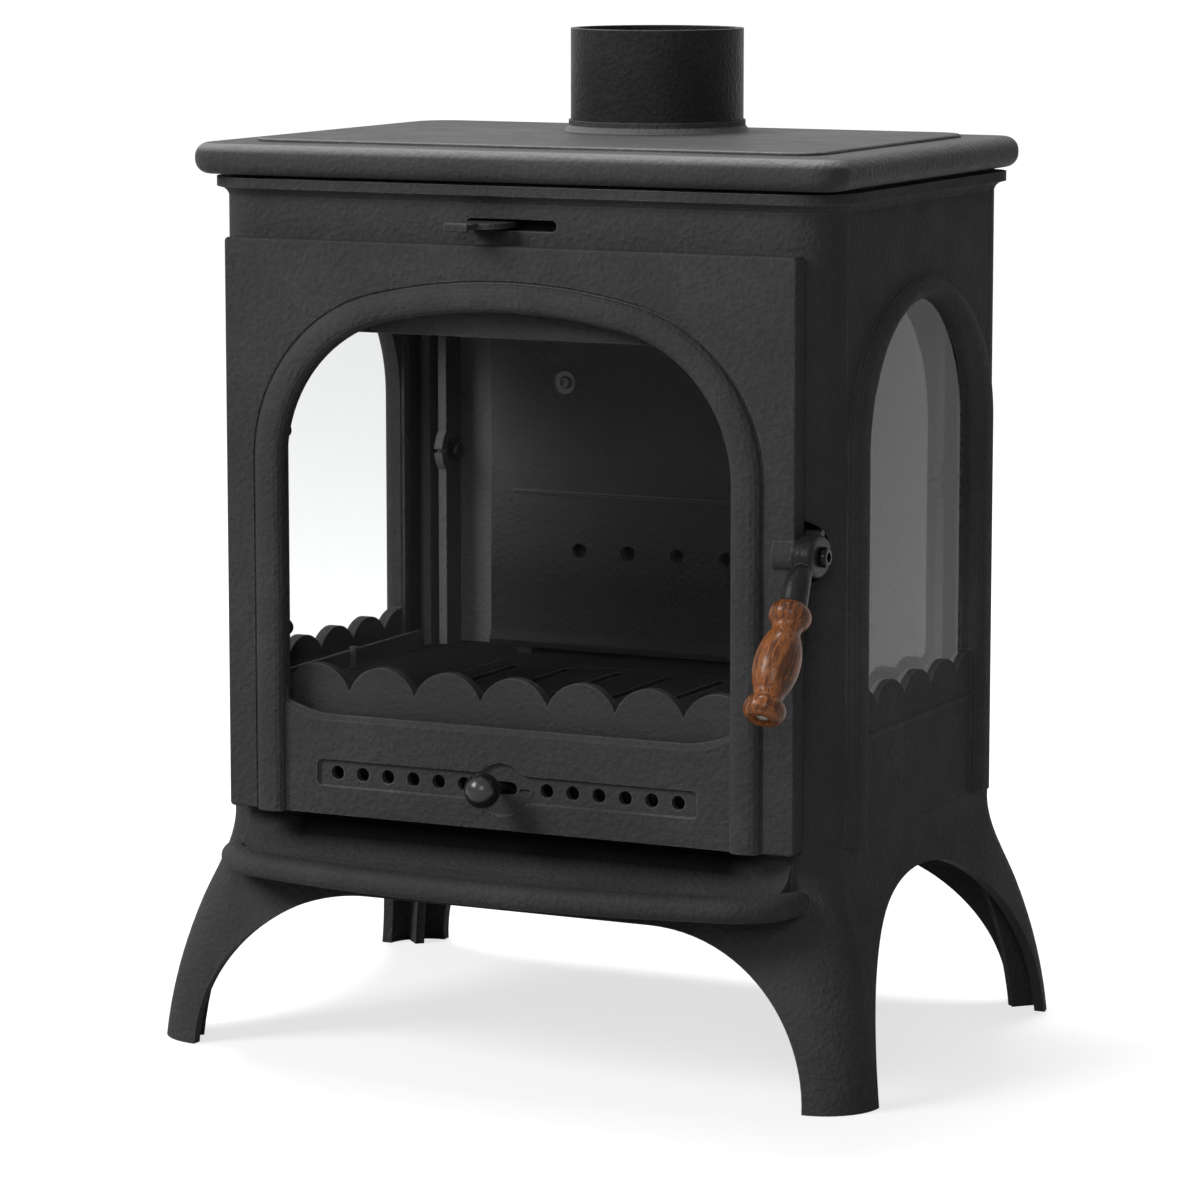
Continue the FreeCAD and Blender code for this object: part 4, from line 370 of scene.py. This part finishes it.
def painted_casting(
        name, paint=PAINT, worn=PAINT_WORN, roughness=PAINT_ROUGHNESS, grain=1.0, soft_edge=SOFT_EDGE,
        gloss=PAINT_GLOSS, marks=None):
    """Paint over sand-cast iron: fine grain, shallow waves, rubbed patches and soft edges painted lighter,
    partly as worn paint and partly as a painted highlight.
    """
    finish = Finish(name)
    fine = finish.noise(*FINE_GRAIN)
    pits = finish.noise(*PITS)
    waves = finish.noise(*WAVES)
    clouds = finish.noise(*CLOUDS)
    tone = finish.blend(clouds, finish.blend(pits, fine, PIT_SHARE), CLOUD_SHARE)
    tones = (tuple(part * PAINT_DARKENING for part in paint), paint, worn)
    colour = finish.ramp(tone, tuple(zip(PAINT_STOPS, tones)))
    uneven = finish.blend(fine, waves, 0.5)
    rough = finish.spread(uneven, roughness - PAINT_SMOOTHER, roughness + PAINT_ROUGHER)
    rounded = finish.add("ShaderNodeBevel", samples=EDGE_SAMPLES)
    socket(rounded, "Radius", soft_edge)
    smooth = rounded.outputs["Normal"]
    along = finish.vector_math("DOT_PRODUCT", smooth, finish.add("ShaderNodeNewGeometry").outputs["Normal"])
    # Edges are painted lighter, partly as worn paint and partly as a painted highlight
    edge = finish.spread(along["Value"], EDGE_LIGHTENING_SHARE, 0, *EDGE_BENDS)
    colour = finish.tint(
        colour, finish.math("MULTIPLY", edge, finish.spread(clouds, *EDGE_PATCHES)), LIGHTENED_EDGE)
    if marks is not None:
        colour = marks(finish, colour)
    normal = smooth
    for layer, (depth, strength) in ((waves, WAVE_RELIEF), (pits, PIT_RELIEF), (fine, FINE_RELIEF)):
        normal = finish.bump(layer, depth * grain, strength, normal)
    return finish.surface(Base_Color=colour, Roughness=rough, Normal=normal, Specular_IOR_Level=gloss)


def paint_shade_in_pocket(finish, colour):
    """Painted shade: the round pocket about the handle's pivot is painted black inside, where it lies deep in
    shade.
    """
    apart = finish.vector_math("SUBTRACT", finish.place, tuple(box_middle("handle_pivot_bolt")))["Vector"]
    across = finish.vector_math("MULTIPLY", apart, (0, 1, 1))["Vector"]
    away = finish.vector_math("LENGTH", across)["Value"]
    inside = finish.spread(away, 1, 0, POCKET_RADIUS, POCKET_RADIUS + POCKET_EDGE)
    right = finish.spread(finish.parts(apart)["X"], 0, 1, *POCKET_DEPTHS)
    return finish.tint(colour, finish.math("MULTIPLY", inside, right), BLACK_OF_PAINTED_SHADE)


def paint_shade_under_door(finish, colour):
    """Painted shade: black on the stand right under the door, which overhangs it."""
    place = finish.parts(finish.place)
    high = finish.spread(place["Z"], 0, 1, *SHADE_UNDER_DOOR_HEIGHTS)
    front = finish.spread(place["Y"], 1, 0, *SHADE_UNDER_DOOR_DEPTHS)
    between = finish.spread(finish.math("ABSOLUTE", place["X"], 0), 1, 0, *SHADE_UNDER_DOOR_REACH)
    share = finish.math("MULTIPLY", high, finish.math("MULTIPLY", front, between))
    return finish.tint(colour, share, BLACK_OF_PAINTED_SHADE)


def darker_low_down(finish, colour):
    """The liner is blackest just above the grate."""
    share = finish.spread(finish.parts(finish.place)["Z"], LINER_DARKENING_SHARE, 0, *LINER_DARKENING_HEIGHTS)
    return finish.tint(colour, share, LINER_LOW_DOWN_BLACK)


def ash_on_inner_face(finish, colour):
    """The rear casting is dusty with ash where it faces the fire."""
    return finish.tint(colour, finish.spread(finish.facing("Y"), 1, 0, *ASH_FACING), ASH_ON_IRON)


def painted_rim_highlight(finish, colour):
    """Painted highlight: the hob's front rim is painted lighter where it turns from its face to its side."""
    up = finish.facing("Z")
    turning = finish.math("MULTIPLY", finish.spread(up, 0, 1, *RIM_FOOT), finish.spread(up, 1, 0, *RIM_CREST))
    front = finish.spread(finish.facing("Y"), 1, RIM_REAR_HIGHLIGHT, *RIM_FRONT)
    return finish.tint(colour, finish.math("MULTIPLY", turning, front), RIM_HIGHLIGHT_PAINT)


def plain_metal(name, colour, roughness, metallic=0.0, grain_size=METAL_GRAIN, gloss=0.5):
    """Sheet, bolts and pins: an even coat with fine scratches."""
    finish = Finish(name)
    grain = finish.noise(grain_size, *METAL_GRAIN_DETAIL)
    clouds = finish.noise(*METAL_CLOUDS)
    tones = (tuple(min(1, part * tone) for part in colour) for tone in METAL_TONES)
    tone = finish.ramp(clouds, tuple(zip(METAL_STOPS, tones)))
    rough = finish.spread(grain, roughness - METAL_SMOOTHER, roughness + METAL_ROUGHER)
    return finish.surface(
        Base_Color=tone, Roughness=rough, Metallic=metallic, Normal=finish.bump(grain, *METAL_RELIEF),
        Specular_IOR_Level=gloss)


def window_glass(name, mirror):
    """Clear pane: see-through, with a share of the sharp reflection of both its faces."""
    finish = Finish(name)
    clear = finish.add("ShaderNodeBsdfTransparent")
    socket(clear, "Color", (*GLASS_TINT, 1))
    gloss = finish.add("ShaderNodeBsdfGlossy")
    socket(gloss, "Roughness", GLASS_ROUGHNESS)
    finish.join(finish.bump(finish.noise(*GLASS_RIPPLE), *GLASS_RELIEF), gloss.inputs["Normal"])
    behind = finish.add("ShaderNodeNewGeometry").outputs["Backfacing"]
    fresnel = finish.add("ShaderNodeFresnel")
    finish.join(finish.spread(behind, GLASS_IOR, 1 / GLASS_IOR, 0, 1), fresnel.inputs["IOR"])
    mix = finish.add("ShaderNodeMixShader")
    finish.join(finish.math("MULTIPLY", fresnel.outputs["Fac"], mirror), mix.inputs["Fac"])
    finish.join(clear.outputs["BSDF"], mix.inputs[1])
    finish.join(gloss.outputs["BSDF"], mix.inputs[2])
    finish.join(mix.outputs["Shader"], finish.out.inputs["Surface"])
    return finish.material


def turned_wood(name, start, way):
    """Stained hardwood under lacquer, with its grain along the grip."""
    finish = Finish(name)
    mapping = finish.add("ShaderNodeMapping", vector_type="TEXTURE")
    socket(mapping, "Location", start)
    socket(mapping, "Rotation", way.to_track_quat("Z", "Y").to_euler())
    finish.join(finish.place, mapping.inputs["Vector"])
    place = mapping.outputs["Vector"]
    figure = finish.noise(*WOOD_FIGURE, place)
    pores = finish.noise(*WOOD_PORES, place)
    bands = finish.noise(*WOOD_BANDS, place)
    colour = finish.ramp(finish.blend(figure, bands, FIGURE_SHARE), WOOD_TONES)
    colour = finish.tint(colour, finish.spread(pores, *PORE_SPREAD), WOOD_PORE, "MULTIPLY")
    return finish.surface(
        Base_Color=colour, Roughness=WOOD_ROUGHNESS, Normal=finish.bump(pores, *WOOD_RELIEF),
        Specular_IOR_Level=WOOD_GLOSS, Coat_Weight=LACQUER, Coat_Roughness=LACQUER_ROUGHNESS)


def rope_finish(name):
    """Braided glass-fibre rope, black and dusty."""
    finish = Finish(name)
    weave = finish.noise(*ROPE_WEAVE)
    colour = finish.ramp(weave, ROPE_TONES)
    normal = finish.bump(finish.noise(*ROPE_FUZZ), *FUZZ_RELIEF, finish.bump(weave, *WEAVE_RELIEF))
    return finish.surface(Base_Color=colour, Roughness=ROPE_ROUGHNESS, Normal=normal)


def give(material, *nodes):
    """Puts one finish on CAD nodes."""
    for node in nodes:
        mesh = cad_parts[node].data
        mesh.materials.clear()
        mesh.materials.append(material)


inner = {"paint": INNER_IRON, "worn": INNER_IRON_WORN, "grain": 1.2}
# Painted shade: near-black so the air slots and the mark's hook look dark
black_for_shade = plain_metal("black_slide_as_painted_shade", SLIDE_AS_SHADE, 0.7, gloss=0.02)
black_steel = plain_metal("black_steel", BLACK_STEEL, 0.42, 0.3)
bolt_coat = plain_metal("glossy_black_bolt", BOLT_BLACK, 0.14, grain_size=9 * MM, gloss=0.12)
bright_steel = plain_metal("zinc_plated_steel", ZINC, 0.32, 1.0)
washer_steel = plain_metal("dull_washers", WASHER_STEEL, 0.45, 0.5)
side_pane = window_glass("clear_side_glass", SIDE_MIRROR)

give(
    painted_casting("stove_paint_on_castings"),
    "right_side_panel", "left_side_panel", "door_frame", "airwash_lever")
give(painted_casting("stove_paint_on_stand_with_painted_shade", marks=paint_shade_under_door), "base_stand")
give(painted_casting("stove_paint_on_front_with_painted_shade", marks=paint_shade_in_pocket), "front_plate")
give(painted_casting("stove_paint_on_back", marks=ash_on_inner_face), "back_panel")
give(
    painted_casting("paint_on_top_with_painted_highlight", roughness=0.55, grain=0.8, gloss=0.06, marks=painted_rim_highlight),
    "top_plate")
give(
    painted_casting("satin_coat_on_spigot", SPIGOT_COAT, SPIGOT_WORN, 0.4, 0.5, gloss=0.06),
    "flue_spigot")
give(
    painted_casting("satin_coat_on_lever", LEVER_COAT, LEVER_WORN, 0.34, 0.3, 0.8 * MM, 0.1),
    "handle_lever", "handle_spacer")
give(painted_casting("sooty_iron_inside", **inner), "side_glass_ledges", "baffle_plate")
give(painted_casting("sooty_iron_liner", **inner, marks=darker_low_down), "back_liner")
give(
    painted_casting("sooty_grate_iron", BED_IRON, BED_IRON_WORN, 0.75, 1.2),
    "bed_frame", "grate", "bottom_plate")
# Painted shade: the slides and box behind the air slots are near-black, so the slots look dark
give(black_for_shade, "airwash_slide", "airwash_box", "air_slide")
give(
    black_steel,
    "spigot_bolts", "tie_rods", "tie_nuts", "side_glass_clips", "side_clip_screws", "airwash_guides",
    "ash_pan", "liner_bolts", "liner_nuts", "latch_pin", "seam_bolts", "seam_washers", "hinge_pins",
    "door_glass_clips", "door_clip_screws", "air_slide_guides", "air_knob_stem")
give(plain_metal("brass", BRASS, 0.35, 1.0), "hinge_washers")
give(washer_steel, "liner_washers")
give(side_pane, "right_side_glass", "left_side_glass")
give(window_glass("coated_door_glass", DOOR_MIRROR), "door_glass")
give(rope_finish("black_rope"), "right_glass_seal", "left_glass_seal", "door_glass_seal", "door_rope_seal")
give(plain_metal("satin_knob", SATIN_BLACK, 0.24, grain_size=6 * MM, gloss=0.4), "air_knob")
give(bright_steel, "grip_bolt")

grip_low, grip_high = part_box("handle_grip")
grip_top = ((grip_low.x + grip_high.x) / 2, grip_high.y, grip_high.z)
give(turned_wood("lacquered_wood", grip_top, GRIP_WAY), "handle_grip")


def finish_piece(name, shape, material, body):
    """Makes an object of a finished bmesh, with its place in its mesh, and lets it ride on a body."""
    bmesh.ops.remove_doubles(shape, verts=shape.verts, dist=MERGE)
    bmesh.ops.recalc_face_normals(shape, faces=shape.faces)
    mesh = bpy.data.meshes.new(name)
    shape.to_mesh(mesh)
    shape.free()
    mesh.materials.append(material)
    piece = bpy.data.objects.new(name, mesh)
    bpy.context.collection.objects.link(piece)
    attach(piece, body)
    return piece


def round_edges(shape, edges, width, segments):
    bmesh.ops.bevel(
        shape, geom=edges, offset=width, offset_type="OFFSET", segments=segments, profile=0.5,
        affect="EDGES", material=-1)


def add_block(shape, size, middle):
    """A block of a size about a middle, whose points come back."""
    points = bmesh.ops.create_cube(shape, size=1)["verts"]
    bmesh.ops.scale(shape, vec=size, verts=points)
    bmesh.ops.translate(shape, vec=middle, verts=points)
    return points


def side_pane_piece(name, node, side):
    """A side pane with ground edges whose outer face lies close behind the casting's face."""
    low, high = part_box(node)
    inner_face = min(abs(low.x), abs(high.x))
    outer_face = BODY_HALF_WIDTH - PANE_SETBACK
    pane = bmesh.new()
    add_block(
        pane, (outer_face - inner_face, high.y - low.y, high.z - low.z),
        Vector((side * (outer_face + inner_face) / 2, (low.y + high.y) / 2, (low.z + high.z) / 2)))
    corners = [edge for edge in pane.edges if abs(edge.verts[0].co.x - edge.verts[1].co.x) > PANE_EDGE]
    round_edges(pane, corners, PANE_CORNER, PANE_CORNER_STEPS)
    rims = [edge for edge in pane.edges if abs(edge.verts[0].co.x - edge.verts[1].co.x) < PANE_EDGE]
    round_edges(pane, rims, PANE_EDGE, 1)
    piece = finish_piece(name, pane, side_pane, "stove_body")
    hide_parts(node)


def step(shape, loop, lift, share):
    """Extrudes a ring of edges along Z, scales it, and gives its new points and edges."""
    made = bmesh.ops.extrude_edge_only(shape, edges=loop)["geom"]
    points = [item for item in made if isinstance(item, bmesh.types.BMVert)]
    edges = [item for item in made if isinstance(item, bmesh.types.BMEdge)]
    bmesh.ops.scale(shape, vec=(share, share, 1), verts=points)
    bmesh.ops.translate(shape, vec=(0, 0, lift), verts=points)
    return points, [edge for edge in edges if edge.verts[0] in points and edge.verts[1] in points]


def make_hexagon(points):
    """Draws a ring of points in to the hexagon that its circle holds."""
    reach = max(point.co.xy.length for point in points)
    for point in points:
        turn = math.atan2(point.co.y, point.co.x) % SIXTH - SIXTH / 2
        across = reach * math.cos(SIXTH / 2) / math.cos(turn)
        point.co.xy = point.co.xy.normalized() * across


def socket_bolt(name, seat, way, shank, head, material, body):
    """A button-head bolt with a hexagon socket. The seat is where its head meets its shank."""
    shank_radius, shank_length = shank
    head_radius, head_height = head
    bolt = bmesh.new()
    bmesh.ops.create_circle(bolt, cap_ends=False, segments=BOLT_SIDES, radius=shank_radius)
    start = list(bolt.edges)
    points, loop = step(bolt, start, 0, head_radius / shank_radius)
    for lift, narrowing in (*HEAD_SHARES, (0, SOCKET_SHARE)):
        points, loop = step(bolt, loop, lift * head_height, narrowing)
    make_hexagon(points)
    points, loop = step(bolt, loop, -SOCKET_DEPTH * head_height, 1)
    bmesh.ops.edgenet_fill(bolt, edges=loop)
    points, loop = step(bolt, start, -shank_length, 1)
    bmesh.ops.edgenet_fill(bolt, edges=loop)
    turn = Vector(way).to_track_quat("Z", "Y").to_matrix().to_4x4()
    bmesh.ops.transform(bolt, matrix=Matrix.Translation(seat) @ turn, verts=bolt.verts)
    return finish_piece(name, bolt, material, body)


side_pane_piece("right_pane_ground_edges", "right_side_glass", 1)
side_pane_piece("left_pane_ground_edges", "left_side_glass", -1)

pivot_low, pivot_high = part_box("handle_pivot_bolt")
pivot_middle = box_middle("handle_pivot_bolt")
pivot_seat = Vector((pivot_high.x - PIVOT_HEAD[1], pivot_middle.y, pivot_middle.z))
pivot_bolt = socket_bolt(
    "pivot_bolt_with_socket", pivot_seat, (1, 0, 0),
    (PIVOT_SHANK, pivot_seat.x - pivot_low.x - SHANK_CLEARANCE), PIVOT_HEAD, bolt_coat, "door")
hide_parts("handle_pivot_bolt")

liner_low, liner_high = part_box("liner_bolts")
for side, name in ((1, "right_liner_bolt_with_socket"), (-1, "left_liner_bolt_with_socket")):
    liner_seat = Vector((
        side * (liner_high.x - LINER_HEAD[0]), liner_low.y + LINER_HEAD[1], (liner_low.z + liner_high.z) / 2))
    socket_bolt(
        name, liner_seat, (0, -1, 0), (LINER_SHANK, liner_high.y - liner_seat.y - SHANK_CLEARANCE),
        LINER_HEAD, washer_steel, "stove_body")
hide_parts("liner_bolts")

grip_bolt_low, grip_bolt_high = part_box("grip_bolt")
grip_head_middle = Vector((
    (grip_bolt_low.x + grip_bolt_high.x) / 2, grip_bolt_low.y + GRIP_HEAD[0] * math.cos(GRIP_LEAN),
    grip_bolt_low.z + GRIP_HEAD[0] * math.sin(GRIP_LEAN)))
grip_shank = (grip_bolt_high.z - grip_head_middle.z) / math.cos(GRIP_LEAN) - GRIP_HEAD[1] - GRIP_SHANK_END
grip_bolt = socket_bolt(
    "grip_bolt_with_socket", grip_head_middle - GRIP_WAY * GRIP_HEAD[1], GRIP_WAY,
    (GRIP_SHANK, grip_shank), GRIP_HEAD, bright_steel, "handle")
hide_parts("grip_bolt")


def air_mark():
    """The half round of the mark: a thin rod swept about the mark's centre, in dark steel as painted shade.
    """
    mark = bmesh.new()
    bmesh.ops.create_circle(mark, cap_ends=True, segments=MARK_SIDES, radius=MARK_PROUD)
    turn = Matrix.Translation((0, 0, MARK_RADIUS)) @ Matrix.Rotation(math.pi / 2, 4, "Y")
    bmesh.ops.transform(mark, matrix=turn, verts=mark.verts)
    bmesh.ops.rotate(mark, cent=(0, 0, 0), matrix=Matrix.Rotation(MARK_START, 3, "Y"), verts=mark.verts)
    bmesh.ops.spin(
        mark, geom=list(mark.faces), cent=(0, 0, 0), axis=(0, 1, 0), angle=MARK_SWEEP, steps=MARK_STEPS,
        use_duplicate=False)
    bmesh.ops.translate(mark, vec=MARK_CENTRE, verts=mark.verts)
    finish_piece("air_mark_half_round", mark, black_steel, "door")


def air_hook():
    """The hook of the mark: a stroke along its top and a short one down from its left end, in near-black as
    painted shade.
    """
    hook = bmesh.new()
    strokes = (
        (HOOK_LENGTH, HOOK_STROKE, HOOK_LEFT + HOOK_LENGTH / 2, HOOK_TOP - HOOK_STROKE / 2),
        (HOOK_STROKE, HOOK_DROP, HOOK_LEFT + HOOK_STROKE / 2, HOOK_TOP - HOOK_DROP / 2))
    for length, height, across, up in strokes:
        add_block(hook, (length, 2 * MARK_PROUD, height), (across, MARK_CENTRE.y, up))
    round_edges(hook, list(hook.edges), MARK_PROUD / 2, 2)
    finish_piece("air_mark_hook", hook, black_for_shade, "door")


air_mark()
air_hook()


def floor_finish():
    """White floor that looks white to the camera and in reflections, and keeps the shadow."""
    finish = Finish("white_floor")
    white = finish.add("ShaderNodeBsdfDiffuse")
    socket(white, "Color", (*FLOOR_GREY, 1))
    glow = finish.add("ShaderNodeEmission")
    away = finish.vector_math("LENGTH", finish.place)["Value"]
    share = finish.spread(away, FLOOR_GLOW_NEAR, 1.0, FLOOR_NEAR, FLOOR_FAR)
    finish.join(finish.math("MULTIPLY", finish.seen(), share), glow.inputs["Strength"])
    both = finish.add("ShaderNodeAddShader")
    finish.join(white.outputs["BSDF"], both.inputs[0])
    finish.join(glow.outputs["Emission"], both.inputs[1])
    finish.join(both.outputs["Shader"], finish.out.inputs["Surface"])
    return finish.material


def lay_floor():
    grid = bmesh.new()
    bmesh.ops.create_grid(grid, x_segments=2, y_segments=2, size=FLOOR_REACH)
    mesh = bpy.data.meshes.new("floor")
    grid.to_mesh(mesh)
    grid.free()
    floor = bpy.data.objects.new("floor", mesh)
    bpy.context.collection.objects.link(floor)
    mesh.materials.append(floor_finish())


def light_room():
    """Even white room: full white where it is seen or mirrored, softer where it lights."""
    world = bpy.data.worlds.new("white_room")
    bpy.context.scene.world = world
    world.use_nodes = True
    tree = world.node_tree
    tree.nodes.clear()
    out = tree.nodes.new("ShaderNodeOutputWorld")
    background = tree.nodes.new("ShaderNodeBackground")
    path = tree.nodes.new("ShaderNodeLightPath")
    background.inputs["Color"].default_value = (1, 1, 1, 1)
    seen = path.outputs["Is Camera Ray"]
    for other in ("Is Glossy Ray", "Is Transmission Ray"):
        largest = tree.nodes.new("ShaderNodeMath")
        largest.operation = "MAXIMUM"
        tree.links.new(seen, largest.inputs[0])
        tree.links.new(path.outputs[other], largest.inputs[1])
        seen = largest.outputs["Value"]
    strength = tree.nodes.new("ShaderNodeMapRange")
    socket(strength, "To Min", ROOM_LIGHT)
    socket(strength, "To Max", 1.0)
    tree.links.new(seen, strength.inputs["Value"])
    tree.links.new(strength.outputs["Result"], background.inputs["Strength"])
    tree.links.new(background.outputs["Background"], out.inputs["Surface"])


def soft_box(name, place, target, size, power):
    """A square lamp that faces a point."""
    light = bpy.data.lights.new(name, "AREA")
    light.energy = power
    light.size = size
    lamp = bpy.data.objects.new(name, light)
    bpy.context.collection.objects.link(lamp)
    lamp.location = place
    lamp.rotation_mode = "QUATERNION"
    lamp.rotation_quaternion = (Vector(target) - Vector(place)).to_track_quat("-Z", "Y")


def set_camera():
    data = bpy.data.cameras.new("camera")
    data.lens = LENS
    data.sensor_width = SENSOR
    camera = bpy.data.objects.new("camera", data)
    bpy.context.collection.objects.link(camera)
    camera.location = CAMERA_PLACE
    camera.rotation_euler = (math.pi / 2 - CAMERA_TILT, 0, CAMERA_TURN)
    bpy.context.scene.camera = camera


lay_floor()
light_room()
for lamp in LAMPS:
    soft_box(*lamp)
set_camera()
bpy.context.scene.view_settings.view_transform = "Standard"
